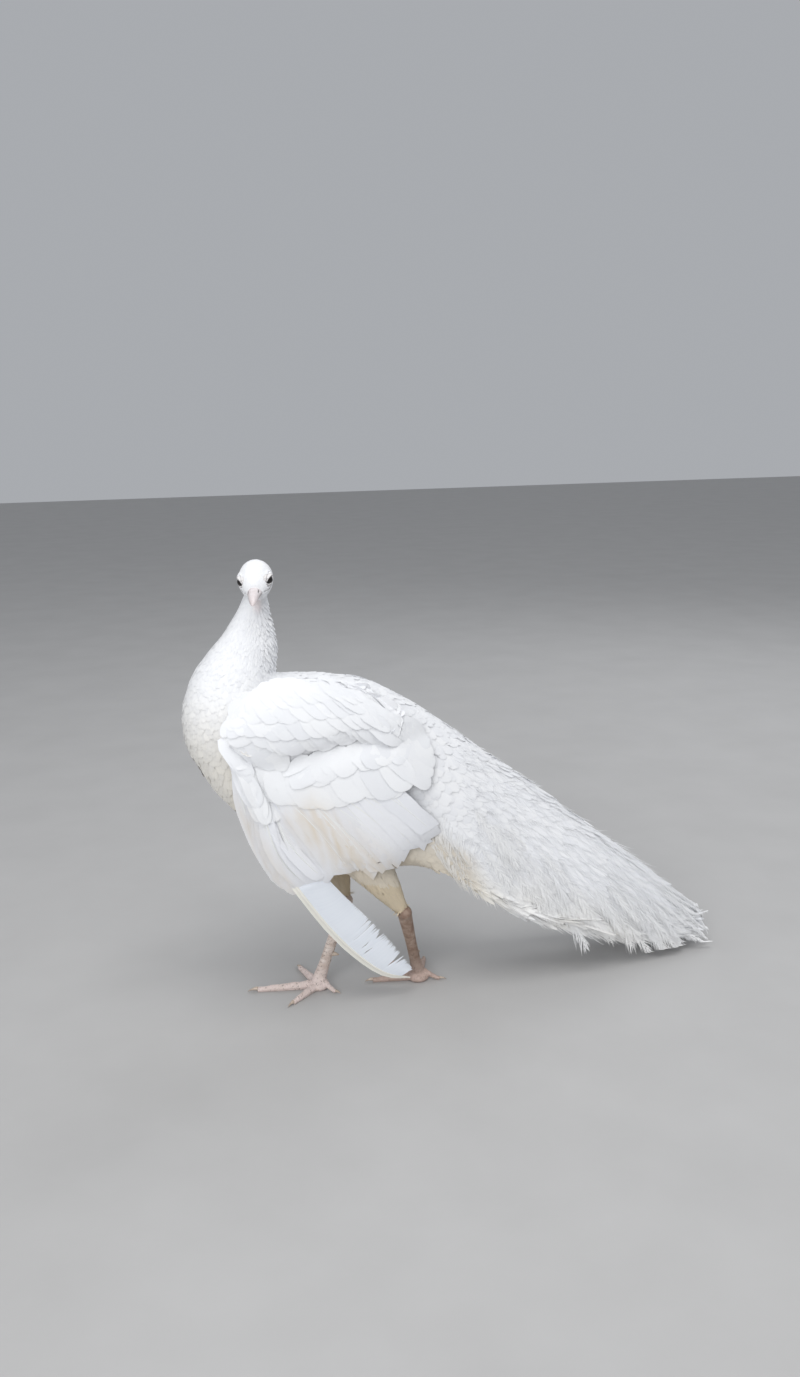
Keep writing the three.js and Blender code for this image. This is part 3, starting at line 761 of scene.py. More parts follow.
def normals(mesh: Mesh) -> Array:
    """Returns a mesh's vertex normals, (N, 3)."""
    return read_items(mesh.vertices, "normal", 3).astype(float)


def move_vertices(mesh: Mesh, places: Array) -> None:
    """Writes a mesh's vertices back."""
    mesh.vertices.foreach_set("co", np.ascontiguousarray(places, np.float32).ravel())
    mesh.update()


def merged_copy(nodes: tuple[str, ...], name: str, grow: float = 0.0) -> Thing:
    """Copies CAD nodes into one new object, with their doubled vertices merged.

    Args:
        nodes: the CAD nodes' names.
        name: the new object's name.
        grow: how far each copy is swelled first, in metres.

    Returns:
        The joined copy.
    """
    copies = []
    for node in nodes:
        source = FRAME["nodes"][node]
        copy = bpy.data.objects.new(name, source.data.copy())
        bpy.context.scene.collection.objects.link(copy)
        activate(copy)
        mode("EDIT")
        bpy.ops.mesh.select_all(action="SELECT")
        bpy.ops.mesh.remove_doubles(threshold=MERGE)
        if grow:
            bpy.ops.transform.shrink_fatten(value=grow)
        mode("OBJECT")
        copies.append(copy)
    deselect()
    for copy in copies:
        copy.select_set(True)
    bpy.context.view_layer.objects.active = copies[0]
    if len(copies) > 1:
        bpy.ops.object.join()
    obj = bpy.context.view_layer.objects.active
    obj.data.materials.clear()
    return obj


def apply_modifier(obj: Thing, kind: str, **settings: object) -> None:
    """Adds a modifier with its settings and applies it."""
    activate(obj)
    modifier = obj.modifiers.new(kind.lower(), kind)
    for key, value in settings.items():
        setattr(modifier, key, value)
    bpy.ops.object.modifier_apply(modifier=modifier.name)


def edit_vertices(obj: Thing, chosen: Array) -> None:
    """Opens an object for editing with only the chosen vertices selected."""
    activate(obj)
    mode("EDIT")
    bpy.ops.mesh.select_all(action="DESELECT")
    bpy.ops.mesh.select_mode(type="VERT")
    mode("OBJECT")
    obj.data.vertices.foreach_set("select", chosen)
    mode("EDIT")


def keep_largest(obj: Thing) -> None:
    """Deletes all but the largest connected shell of a mesh."""
    mesh = obj.data
    a, b = read_items(mesh.edges, "vertices", 2, np.int32).T
    label = np.arange(len(mesh.vertices))
    while True:
        low = np.minimum(label[a], label[b])
        new = label.copy()
        np.minimum.at(new, a, low)
        np.minimum.at(new, b, low)
        new = new[new]
        if (new == label).all():
            break
        label = new
    names, counts = np.unique(label, return_counts=True)
    drop = label != names[counts.argmax()]
    if drop.any():
        edit_vertices(obj, drop)
        bpy.ops.mesh.delete(type="VERT")
        mode("OBJECT")


def own(piece: Thing, slot: str, *nodes: str) -> Thing:
    """Hangs a piece on the bird, hides the CAD nodes that it stands for, and reports its triangles."""
    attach(piece, ROOT)
    if nodes:
        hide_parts(*nodes)
    log.info("%s: %d triangles", piece.name, sum(len(p.vertices) - 2 for p in piece.data.polygons))
    return piece


# ---------------------------------------------------------------- feathers


class Cut(Enum):
    """How a feather's outline ends. Each value lists where along it, and how wide it is there."""

    DOWN = ((0.0, 0.30, 0.75, 1.0), (0.35, 1.0, 0.8, 0.15))
    BODY = ((0.0, 0.22, 0.52, 0.80, 0.94, 1.0), (0.25, 0.78, 1.0, 0.88, 0.55, 0.12))
    COVERT = ((0.0, 0.15, 0.4, 0.65, 0.82, 0.92, 0.975, 1.0), (0.3, 0.72, 0.98, 1.0, 0.9, 0.68, 0.4, 0.1))
    LONG = (
        (0.0, 0.08, 0.2, 0.34, 0.48, 0.62, 0.75, 0.86, 0.94, 1.0),
        (0.2, 0.5, 0.8, 0.98, 1.0, 0.96, 0.84, 0.62, 0.36, 0.06)
    )
    FLIGHT = (
        (0.0, 0.08, 0.18, 0.3, 0.42, 0.54, 0.66, 0.77, 0.86, 0.93, 0.975, 1.0),
        (0.2, 0.4, 0.7, 0.92, 1.0, 1.0, 1.0, 1.0, 0.98, 0.9, 0.68, 0.2)
    )
    TORN = (
        (0.0, 0.08, 0.18, 0.3, 0.42, 0.54, 0.66, 0.77, 0.86, 0.93, 0.975, 1.0),
        (0.2, 0.4, 0.7, 0.92, 1.0, 1.0, 1.0, 1.0, 1.0, 0.99, 0.96, 0.9)
    )
    HACKLE = ((0.0, 0.2, 0.45, 0.7, 0.88, 1.0), (0.3, 0.85, 1.0, 0.78, 0.46, 0.06))
    WISP = ((0.0, 0.25, 0.5, 0.75, 1.0), (0.6, 1.0, 0.9, 0.6, 0.08))

    def outline(self) -> tuple[Array, Array]:
        """Returns the shares of the length, and the width at each."""
        return np.array(self.value[0]), np.array(self.value[1])


RINGS = {
    3: ((-1, 0), (0, 1), (1, 0)),
    4: ((-1, 0), (0, 1), (1, 0), (0, -1)),
    8: ((-1, 0), (-0.5, 0.8), (0, 1), (0.5, 0.8), (1, 0), (0.5, -0.8), (0, -1), (-0.5, -0.8)),
}


class Thick:
    """Half the thickness of each kind of feather, in metres."""

    BARB = 0.00016
    BRUSH = 0.00018
    WISP = 0.0002
    LOCK = 0.00022
    FLIGHT = 0.00025
    PLUME = 0.0003
    SHAFT = 0.0009


class Seed:
    """The seeds of the random draws."""

    CREST = 5
    PLUMES, WISPS, ENDS = 11, 12, 14
    LEFT_WING, RIGHT_WING = 21, 22
    LONG_PRIMARY = 31
    MANTLE = 41
    HEM, HEM_PLUMES, END_PLUMES = 61, 70, 80
    COMB, FRINGE, RIDGE = 93, 193, 97
    ROOTS, COAT = 100, 200


@dataclass
class Vanes:
    """Many thin closed feathers of one kind.

    Each has a line of points with its outward normals, and a half width at each point.
    """

    line: Array  # (N, K, 3) metres
    normal: Array  # (N, K, 3)
    half: Array  # (N, K) metres
    patch: Array  # (N, 2) where each root lies on the skin's unwrap
    shade: Array  # (N,)
    thick: float = Thick.PLUME
    arch: float = 0.15  # how far the edges turn down, as a share of the half width
    ring: int = 4
    ragged: Array | None = None  # (N, K, 2) share of the left and right half width
    skew: Array | None = None  # (N,) how far the end is cut on the slant

    def some(self, keep: Array) -> "Vanes":
        """Returns the feathers for which keep is True."""
        return replace(self, **{k: v[keep] for k, v in vars(self).items() if isinstance(v, Array)})

    def lying(self, least: float = 0.72) -> "Vanes":
        """Returns the feathers that lie smoothly, without those that are bent sharply over an edge.

        Args:
            least: the cosine of the most that a feather's face may turn from point to point.
        """
        way = unit(np.diff(self.line, axis=1))
        bend = (way[:, 1:] * way[:, :-1]).sum(-1).min(1)
        turn = (unit(self.normal[:, 1:]) * unit(self.normal[:, :-1])).sum(-1).min(1)
        return self.some((bend > 0.86) & (turn > least))

    def arrays(self) -> tuple[Array, list[Array], Array, Array, Array]:
        """Returns vertices, faces, vane UVs, bake UVs and shades for all the feathers."""
        n, k = self.half.shape
        way = unit(np.gradient(self.line, axis=1))
        side = unit(np.cross(way, self.normal))
        up = np.cross(side, way)
        ring = np.array(RINGS[self.ring], float)
        m = len(ring)
        u, h = ring[:, 0], ring[:, 1]
        width = self.half[:, :, None] * u
        if self.ragged is not None:
            width = width * np.where(u < 0, self.ragged[:, :, :1], self.ragged[:, :, 1:])
        slim = np.minimum(1.0, self.half / (self.half.max(1, keepdims=True) * 0.5 + 1e-9))
        lift = h * self.thick * slim[:, :, None] - self.arch * np.abs(width) * np.abs(u)
        verts = (
            self.line[:, :, None] + side[:, :, None] * width[..., None] + up[:, :, None] * lift[..., None]
        )
        if self.skew is not None:
            late = smooth(0.80, 0.97, np.linspace(0, 1, k))[None, :, None] * self.half.max(1)[:, None, None]
            verts = verts + way[:, :, None] * (self.skew[:, None, None] * late * u)[..., None]
        first = (np.arange(n) * k * m)[:, None, None]
        i, j = np.meshgrid(np.arange(k - 1), np.arange(m), indexing="ij")
        cell = np.stack(
            [i * m + j, i * m + (j + 1) % m, (i + 1) * m + (j + 1) % m, (i + 1) * m + j], -1
        ).reshape(1, -1, 4)
        quads = (cell + first).reshape(-1, 4)
        root = (np.arange(m)[::-1][None] + first[:, 0]).reshape(-1, m)
        tip = (np.arange(m)[None] + (k - 1) * m + first[:, 0]).reshape(-1, m)
        steps = np.linalg.norm(np.diff(self.line, axis=1), axis=2)
        run = np.concatenate([np.zeros((n, 1)), np.cumsum(steps, 1)], 1)
        seed = (self.shade * 37.0)[:, None, None]
        vane = np.stack([width * 100, np.broadcast_to(run[:, :, None] * 100 + seed, width.shape)], -1)
        share = run / np.maximum(run[:, -1:], 1e-9)
        bake = np.stack(
            [np.broadcast_to(u, width.shape), np.broadcast_to(share[:, :, None] * 2 - 1, width.shape)], -1
        )
        bake = self.patch[:, None, None] + bake * PATCH
        shade = np.repeat(self.shade, k * m)
        return verts.reshape(-1, 3), [quads, root, tip], vane.reshape(-1, 2), bake.reshape(-1, 2), shade


@dataclass
class Plumes:
    """Loose feathers, each a shaft with single barbs down both sides."""

    line: Array  # (N, K, 3) metres, along the shafts
    normal: Array  # (N, K, 3)
    reach: Array  # (N, 2) metres from the shaft to the barbs' ends, on each side
    patch: Array  # (N, 2) where each root lies on the skin's unwrap
    barbs: int = 44  # down each side
    angle: Pair = (0.62, 0.16)  # between barb and shaft at the barb's root and end, in radians
    sag: float = 0.22  # how far a barb's end hangs, as a share of its length
    half: float = 0.42  # half a barb's width in millimetres

    def vanes(self, seed: int) -> list[Vanes]:
        """Returns the shafts and the barbs."""
        rng = np.random.default_rng(seed)
        n, k = self.line.shape[:2]
        m = self.barbs * 2
        t = 0.10 + 0.895 * (np.arange(m) // 2 + rng.random((n, m))) / self.barbs
        side = np.where(np.arange(m) % 2, 1.0, -1.0)
        at = np.clip(t, 0, 1) * (k - 1)
        i = np.minimum(at.astype(int), k - 2)
        f, row = (at - i)[..., None], np.arange(n)[:, None]
        head = unit(np.gradient(self.line, axis=1))
        base, way, out = (a[row, i] * (1 - f) + a[row, i + 1] * f for a in (self.line, head, self.normal))
        way = unit(way)
        across = unit(np.cross(way, out))
        wide = np.where(side > 0, self.reach[:, 1:], self.reach[:, :1])
        wide = (
            wide * np.interp(t, [0, 0.12, 0.45, 0.8, 1.0], [0.45, 0.85, 1.0, 0.75, 0.4])
            * rng.uniform(0.5, 1.12, (n, m))
        )
        long = wide / math.sin(sum(self.angle) / 2)
        s = np.linspace(0, 1, 6)
        turn = between(self.angle, s) + rng.normal(0, 0.13, (n, m, 1))
        step = long[..., None] / 5
        ahead = np.cumsum(np.cos(turn) * step, -1) - np.cos(turn[..., :1]) * step
        aside = (np.cumsum(np.sin(turn) * step, -1) - np.sin(turn[..., :1]) * step) * side[:, None]
        path = base[:, :, None] + way[:, :, None] * ahead[..., None] + across[:, :, None] * aside[..., None]
        path[..., 2] -= long[..., None] * s**2 * self.sag * rng.uniform(0.3, 1.3, (n, m, 1))
        shape = np.array([0.8, 1.0, 0.95, 0.8, 0.55, 0.08])
        half = np.broadcast_to(shape * rng.uniform(0.75, 1.2, (n, m, 1)) * self.half * MM, path.shape[:3])
        face = np.broadcast_to(out[:, :, None], path.shape)
        many = n * m
        patch, shade = np.repeat(self.patch, m, 0), np.repeat(rng.random(n), m)
        flat = [a.reshape(many, 6, *a.shape[3:]) for a in (path, face, half)]
        shaft = np.tile(np.linspace(0.42, 0.12, k) * MM, (n, 1))
        return [
            Vanes(*flat, patch, shade, Thick.BARB, 0.0, 3),
            Vanes(self.line, self.normal, shaft, self.patch, rng.random(n), Thick.PLUME, 0.0, 4),
        ]


def feathers(name: str, groups: list[Vanes], finish: object, stain: object = None) -> Thing:
    """Joins groups of feathers into one object.

    Args:
        name: the object's name.
        groups: the feathers.
        finish: their finish.
        stain: gives the colours at places, where they aren't the body's own.

    Returns:
        The object, with the maps Vane and OFBake and the attributes Tint and Shade.
    """
    verts, faces, vane, bake, shade = zip(*(group.arrays() for group in groups if len(group.half)))
    starts = np.cumsum([0, *(len(v) for v in verts)])
    faces = [corners + start for own_faces, start in zip(faces, starts) for corners in own_faces]
    obj = mesh_object(name, np.concatenate(verts), faces, finish)
    put_uv(obj.data, "Vane", np.concatenate(vane))
    put_uv(obj.data, "OFBake", np.clip(np.concatenate(bake), 0.0005, 0.9995))
    put_value(obj.data, "Shade", np.concatenate(shade))
    put_tint(obj.data, vertices(obj.data), stain or tint)
    return obj


# ---------------------------------------------------------------- skin


FLESH = (
    "head", "neck_upper", "neck_lower", "breast", "trunk", "rump", "train_upper", "train_lower",
    "shin_left", "shin_right", "wing_left_coverts", "wing_right_coverts",
)


@dataclass
class Skin:
    """The bird's one seamless skin, with its face and lids, and the surface that feathers root on."""

    voxel: float = 0.0026
    grow: float = 0.0007
    lid: float = 0.55  # how far the lids lie off the eye
    socket: float = 1.4  # how far the skin sinks behind the eye's face
    opening: Pair = (5.9, 4.0)  # half length and half height of the eye's opening
    turn_limit: float = 0.62  # cosine of how far the skin may turn under a feather that still follows it

    def build(self) -> Thing:
        """Builds the skin and keeps what the coat needs of it."""
        # the eyes only fill their sockets
        obj = merged_copy((*FLESH, "eye_left", "eye_right"), "skin", self.grow)
        apply_modifier(obj, "REMESH", mode="VOXEL", voxel_size=self.voxel)
        keep_largest(obj)
        apply_modifier(obj, "SMOOTH", factor=0.5, iterations=6)
        move_vertices(obj.data, place(settled(bird(vertices(obj.data)))))
        at, out = vertices(obj.data), normals(obj.data)
        depth = LIE.read(bird(at)).depth * MM + self.grow
        local = HEAD.inside(at)
        face = smooth(34, 22, np.linalg.norm(local - np.array((2, 0, -2)), axis=1))
        depth = depth * (1 - face) + (0.9 * MM + self.grow) * face
        move_vertices(obj.data, at - out * depth[:, None])
        apply_modifier(obj, "SMOOTH", factor=0.5, iterations=3)
        self.refine_head(obj)
        self.shape_face(obj)
        finish_faces(obj.data, BareSkin())
        self.unwrap(obj)
        at = vertices(obj.data)
        put_tint(obj.data, at)
        local = HEAD.inside(at)
        ring = np.hypot((local[:, 0] - 3.0) / 1.25, local[:, 2] - HEAD.eye_up)
        put_value(obj.data, "Bare", smooth(14.0, 9.0, ring) * (np.abs(local[:, 1]) > 6))
        # the fold's depth also sets its painted shade
        put_value(obj.data, "FoldShade", self.gape(local))
        put_value(obj.data, "Lore", self.lore(local))
        self.keep_surface(obj.data)
        return own(obj, "plumage", *FLESH)

    def refine_head(self, obj: Thing) -> None:
        """Divides the head's faces finely enough for its lids and folds."""
        for reach, rounds in ((52.0, 3), (34.0, 4)):
            local = HEAD.inside(vertices(obj.data))
            near = np.linalg.norm(local - np.array((-4, 0, 0)), axis=1) < reach
            edit_vertices(obj, near)
            bpy.ops.mesh.subdivide(number_cuts=1)
            bpy.ops.mesh.vertices_smooth(factor=0.5, repeat=rounds)
            mode("OBJECT")

    def shape_face(self, obj: Thing) -> None:
        """Presses the sockets in and raises lids, brow and cheek round each eye."""
        at, out = vertices(obj.data), normals(obj.data)
        local = HEAD.inside(at)
        turned = out @ HEAD.axes()
        for side in (1, -1):
            eye = np.array((0.0, side * HEAD.eye_side, HEAD.eye_up))
            gaze = math.radians(HEAD.gaze)
            out_way = np.array((math.sin(gaze), side * math.cos(gaze), 0.06))
            out_way /= np.linalg.norm(out_way)
            fore = unit(np.array((math.cos(gaze), -side * math.sin(gaze), 0.0)))
            rise = np.cross(fore, out_way) * side
            rel = local - eye
            x, y, z = rel @ fore, rel @ out_way, rel @ rise
            outer = (y > -2) & (np.linalg.norm(rel, axis=1) < 22)
            # the opening is an almond with its corners drawn out, lower in front than behind
            z = z + 0.40 * x - 0.04 * np.abs(x)
            ring = (np.abs(x / self.opening[0]) ** 1.6 + np.abs(z / self.opening[1]) ** 2.1) ** 0.5
            reach = np.hypot(x, z)
            dome, sunk = (
                np.sqrt(np.maximum(ball**2 - np.minimum(reach, ball) ** 2, 0.0))
                for ball in (HEAD.eye + self.lid, HEAD.eye - self.socket)
            )
            lid = dome + 0.30 * bump(ring - 1.10, 0.12)  # the lids' raised rims
            hold = smooth(9.6, 6.6, reach)
            shaped = y * (1 - hold) + lid * hold
            edge = smooth(0.93, 1.03, ring)
            shaped = np.where(reach < 7.4, shaped * edge + (sunk - 0.2) * (1 - edge), shaped)
            # folds of bare skin below, and the brow above
            for centre, height, breadth in ((8.6, 0.5, 0.8), (11.0, 0.35, 0.8)):
                shaped = (
                    shaped
                    + bump(
                        reach - centre, breadth
                    ) * smooth(1.0, -3.0, z) * smooth(12, 6, np.abs(x)) * height
                )
            shaped = shaped + bump(reach - 8.4, 1.9) * smooth(1.0, 4.0, z) * smooth(12, 5, np.abs(x)) * 1.9
            shift = np.where(outer, shaped - y, 0.0)
            local = local + shift[:, None] * out_way
        local = local - turned * (0.9 * self.gape(local))[:, None]
        moved = HEAD.out(local)
        near = np.linalg.norm(local, axis=1) < 60
        at = np.where(near[:, None], moved, at)
        move_vertices(obj.data, at)

    @staticmethod
    def gape(local: Array) -> Array:
        """Returns how deep the fold behind the mouth is, from 0 to 1, at head millimetres."""
        x, y, z = local.T
        line = bump(z + 11.0 - 0.16 * (19.0 - x), 0.75) * smooth(7.0, 9.0, x) * smooth(21.5, 20.0, x)
        pit = np.exp(-(((x - 7.0) / 1.7) ** 2) - ((z + 9.2) / 1.3) ** 2)
        return np.maximum(line, pit) * smooth(4.0, 6.5, np.abs(y))

    @staticmethod
    def lore(local: Array) -> Array:
        """Returns how dusky the bare face is, from 0 to 1, at head millimetres."""
        x, y, z = local.T
        reach = np.hypot((x - 5.0) / 1.3, (z + 3.5) / 1.0)
        streaks = 0.55 + 0.45 * np.sin(z * 2.3 + x * 1.1 + np.sin(x * 1.7))
        return smooth(10.5, 6.0, reach) * smooth(4.0, 7.0, np.abs(y)) * streaks

    def unwrap(self, obj: Thing) -> None:
        """Unwraps the skin on its own shape into the map OFBake."""
        activate(obj)
        mode("EDIT")
        bpy.ops.mesh.select_all(action="SELECT")
        obj.data.uv_layers.new(name="OFBake")
        bpy.ops.uv.smart_project(angle_limit=math.radians(70), island_margin=0.004)
        mode("OBJECT")

    def keep_surface(self, mesh: Mesh) -> None:
        """Keeps the skin's triangles, their normals, areas and unwrapped corners."""
        mesh.calc_loop_triangles()
        self.at, self.out = vertices(mesh), normals(mesh)
        self.corners = read_items(mesh.loop_triangles, "vertices", 3, np.int32)
        loops = read_items(mesh.loop_triangles, "loops", 3, np.int32)
        self.uv = read_items(mesh.uv_layers["OFBake"].data, "uv", 2)[loops].astype(float)
        a, b, c = (self.at[self.corners[:, k]] for k in range(3))
        self.area = np.linalg.norm(np.cross(b - a, c - a), axis=1) / 2
        self.middle = (a + b + c) / 3
        self.tree = BVHTree.FromPolygons(
            [tuple(v) for v in self.at], [tuple(t) for t in self.corners.tolist()]
        )

    def scatter(self, seed: int, chosen: Array, gap: Array) -> tuple[Array, Array, Array]:
        """Spreads feather roots over some of the skin.

        Args:
            seed: the random seed.
            chosen: True for each triangle that may carry roots.
            gap: the distance between roots at each triangle, in millimetres.

        Returns:
            The roots in metres, their skin normals, and their places on the unwrap.
        """
        rng = np.random.default_rng(seed)
        weight = self.area * chosen / (gap * MM) ** 2
        count = int(weight.sum() * 4.0)
        index = rng.choice(len(weight), count, p=weight / weight.sum())
        a, b = rng.random((2, count))
        flip = a + b > 1
        a, b = np.where(flip, 1 - a, a), np.where(flip, 1 - b, b)
        bary = np.stack([1 - a - b, a, b], 1)
        corner = self.corners[index]
        at = (self.at[corner] * bary[..., None]).sum(1)
        out = unit((self.out[corner] * bary[..., None]).sum(1))
        uv = (self.uv[index] * bary[..., None]).sum(1)
        reach = gap[index] * MM
        tree = KDTree(count)
        for i, p in enumerate(at):
            tree.insert(p, i)
        tree.balance()
        free = np.ones(count, bool)
        kept = []
        for i in range(count):
            if free[i]:
                kept.append(i)
                for _, j, _ in tree.find_range(at[i], reach[i]):
                    free[j] = False
        return at[kept], out[kept], uv[kept]

    def follow(self, root: Array, way: Array, steps: Array) -> tuple[Array, Array]:
        """Lays lines along the skin, each going straight on where the skin turns sharply away.

        Args:
            root: where each line starts, (N, 3) metres.
            way: each line's heading, (N, 3).
            steps: the distances of its points from the root, (N, K) metres.

        Returns:
            The points and their outward normals, each (N, K, 3).
        """
        n, k = steps.shape
        line, normal = np.empty((n, k, 3)), np.empty((n, k, 3))
        find = self.tree.find_nearest
        for i in range(n):
            p, d, last = Vector(root[i]), Vector(way[i]), 0.0
            first = held = find(p)[1]
            free = False
            for j in range(k):
                p = p + d * (steps[i, j] - last)
                last = steps[i, j]
                hit, out, _, _ = find(p)
                free = free or out.dot(first) < self.turn_limit
                if not free:
                    p, held = hit, out
                    d = (d - out * d.dot(out)).normalized()
                line[i, j], normal[i, j] = p, held
        return line, normal

    def outermost(self, x: Array, z: Array, side: int) -> Array:
        """Returns how far out to one side the skin lies over X and Z, or 0 where it doesn't."""
        found = np.zeros(len(x))
        toward = Vector((0, -side, 0))
        for i, p in enumerate(place(np.stack([x, np.full(len(x), side * ASIDE), z], -1))):
            hit = self.tree.ray_cast(Vector(p), toward)[0]
            found[i] = bird(hit)[1] if hit is not None else 0.0
        return found

    def clearance(self, points: Array) -> Array:
        """Returns how far each point is from the skin."""
        return np.array([self.tree.find_nearest(Vector(p))[3] for p in points])

    def patch(self, points: Array) -> Array:
        """Returns the unwrapped place nearest to each point."""
        found = np.empty((len(points), 2))
        for i, p in enumerate(points):
            index = self.tree.find_nearest(Vector(p))[2]
            found[i] = self.uv[index].mean(0)
        return found


# ---------------------------------------------------------------- the coat


class Tract(Enum):
    """The parts of the coat, each its own piece."""

    HEAD = "coat_head"
    NECK = "coat_neck"
    BREAST = "coat_breast"
    BODY = "coat_body"
    RUMP = "coat_rump"
    THIGHS = "coat_thighs"


@dataclass
class Coat:
    """The contour feathers that follow the skin, from the face to the rump."""

    skin: Skin
    wings: tuple["Face", "Face"]

    def tract_of(self, points: Array) -> Array:
        """Returns the tract that each point lies in, in bird millimetres."""
        x, _, z = points.T
        local = HEAD.inside(place(points))
        head = np.linalg.norm((local - np.array((-4, 0, 0))) / np.array((38, 30, 30)), axis=1) < 1.0
        thigh = (z < np.interp(x, [-200, -130, -60, 20], [205, 192, 172, 150])) & (x < 0) & (x > -190)
        tract = np.full(len(points), Tract.BODY, object)
        tract[x > 70] = Tract.RUMP
        tract[x > 200] = None
        tract[(x < -178) & (z < 480)] = Tract.BREAST
        tract[(z > 470) & (x < -178)] = Tract.NECK
        tract[thigh] = Tract.THIGHS
        tract[head] = Tract.HEAD
        return tract

    @staticmethod
    def downy(points: Array) -> Array:
        """Returns how downy the coat is at bird millimetres, 1 on the belly and 0 on the back."""
        x, _, z = points.T
        return smooth(75, 25, z - level(x, "belly", 4)) * smooth(-235, -200, x) * smooth(215, 185, x)

    def build(self) -> list[Thing]:
        """Builds every tract."""
        middle = bird(self.skin.middle)
        tracts = self.tract_of(middle)
        for wing in self.wings:
            tracts[wing.covers(middle[:, 0], middle[:, 2]) & (middle[:, 1] * wing.side > 25)] = None
        growth = LIE.read(middle)
        return [self.tract(t, k, tracts == t, growth) for k, t in enumerate(Tract)]

    def tract(self, tract: Tract, seed: int, chosen: Array, growth: Growth) -> Thing:
        """Builds one tract of the coat."""
        gap = (
            growth.gap * {Tract.HEAD: 0.86}.get(tract, 1.0)
            * (1 - 0.45 * self.downy(bird(self.skin.middle)))
        )
        if tract is Tract.HEAD:
            local = HEAD.inside(self.skin.middle)
            ring = np.hypot((local[:, 0] - 3.6) / 1.15, local[:, 2] - HEAD.eye_up)
            chosen = (
                chosen & ~((ring < 7.8) & (np.abs(local[:, 1]) > 8))
                & (self.skin.gape(local + (1.4, 0, 0)) < 0.4)
            )
        root, out, uv = self.skin.scatter(Seed.ROOTS + seed, chosen, gap)
        rng = np.random.default_rng(Seed.COAT + seed)
        n, at = len(root), bird(root)
        g = LIE.read(at)
        scale = 0.85 + 0.3 * rng.random(n)
        length, width = g.length * scale, g.width * scale
        down = self.downy(at)
        length, width = length * (1 - 0.35 * down), width * (1 - 0.55 * down)
        way, depth = g.way, g.depth.copy()
        if tract is Tract.THIGHS:
            low = smooth(150, 132, at[:, 2])  # the last rows hang over the hock
            length, depth = length + 6 * low, depth + 1.3 * low
        way = flattened(way, out)
        turn = rng.normal(0, 0.10, n)
        ruffle = np.zeros(n)
        if tract is Tract.NECK:  # where the neck turns, its feathers stand in slanting ranks
            ruffle = (
                smooth(50, 25, np.abs(at[:, 2] - 518)) * smooth(-218, -203, at[:, 0])
                * smooth(25, 5, at[:, 1])
            )
            length, width = length * (1 + 0.6 * ruffle), width * (1 + 0.10 * ruffle)
        turn += ruffle * (0.45 + rng.normal(0, 0.15, n))
        way = swung(way, np.cross(out, way), turn)
        cut = {Tract.HEAD: Cut.DOWN, Tract.THIGHS: Cut.DOWN, Tract.NECK: Cut.HACKLE}.get(tract, Cut.BODY)
        share, shape = cut.outline()
        steps = share[None] * length[:, None] * MM
        line, normal = self.skin.follow(root, way, steps)
        rise = depth[:, None] * (0.45 + 0.50 * share[None] ** 0.9 + 0.06 * rng.random((n, 1)))
        rise = rise + ruffle[:, None] * share[None] ** 1.5 * (2.0 + 2.6 * rng.random((n, 1)))
        line = line + normal * rise[..., None] * MM
        half = shape[None] * width[:, None] * 0.5 * MM
        ring = 3 if tract is Tract.HEAD else 4
        ragged = rng.uniform(0.80, 1.12, (n, len(share), 2))
        if tract is Tract.RUMP:
            normal = Train.over_ridge(line, normal)
        group = Vanes(line, normal, half, uv, rng.random(n), Thick.BARB, 0.10, ring, ragged)
        if tract in (Tract.BODY, Tract.BREAST, Tract.RUMP):  # none stands off the skin at the wings' edges
            group = group.some(self.skin.clearance(line[:, -1]) < (depth + 3.0) * MM)
        piece = feathers(tract.value, [group], SHIN if tract is Tract.THIGHS else WHITE)
        return own(piece, "shin_feather" if tract is Tract.THIGHS else "plumage")


# ---------------------------------------------------------------- wings


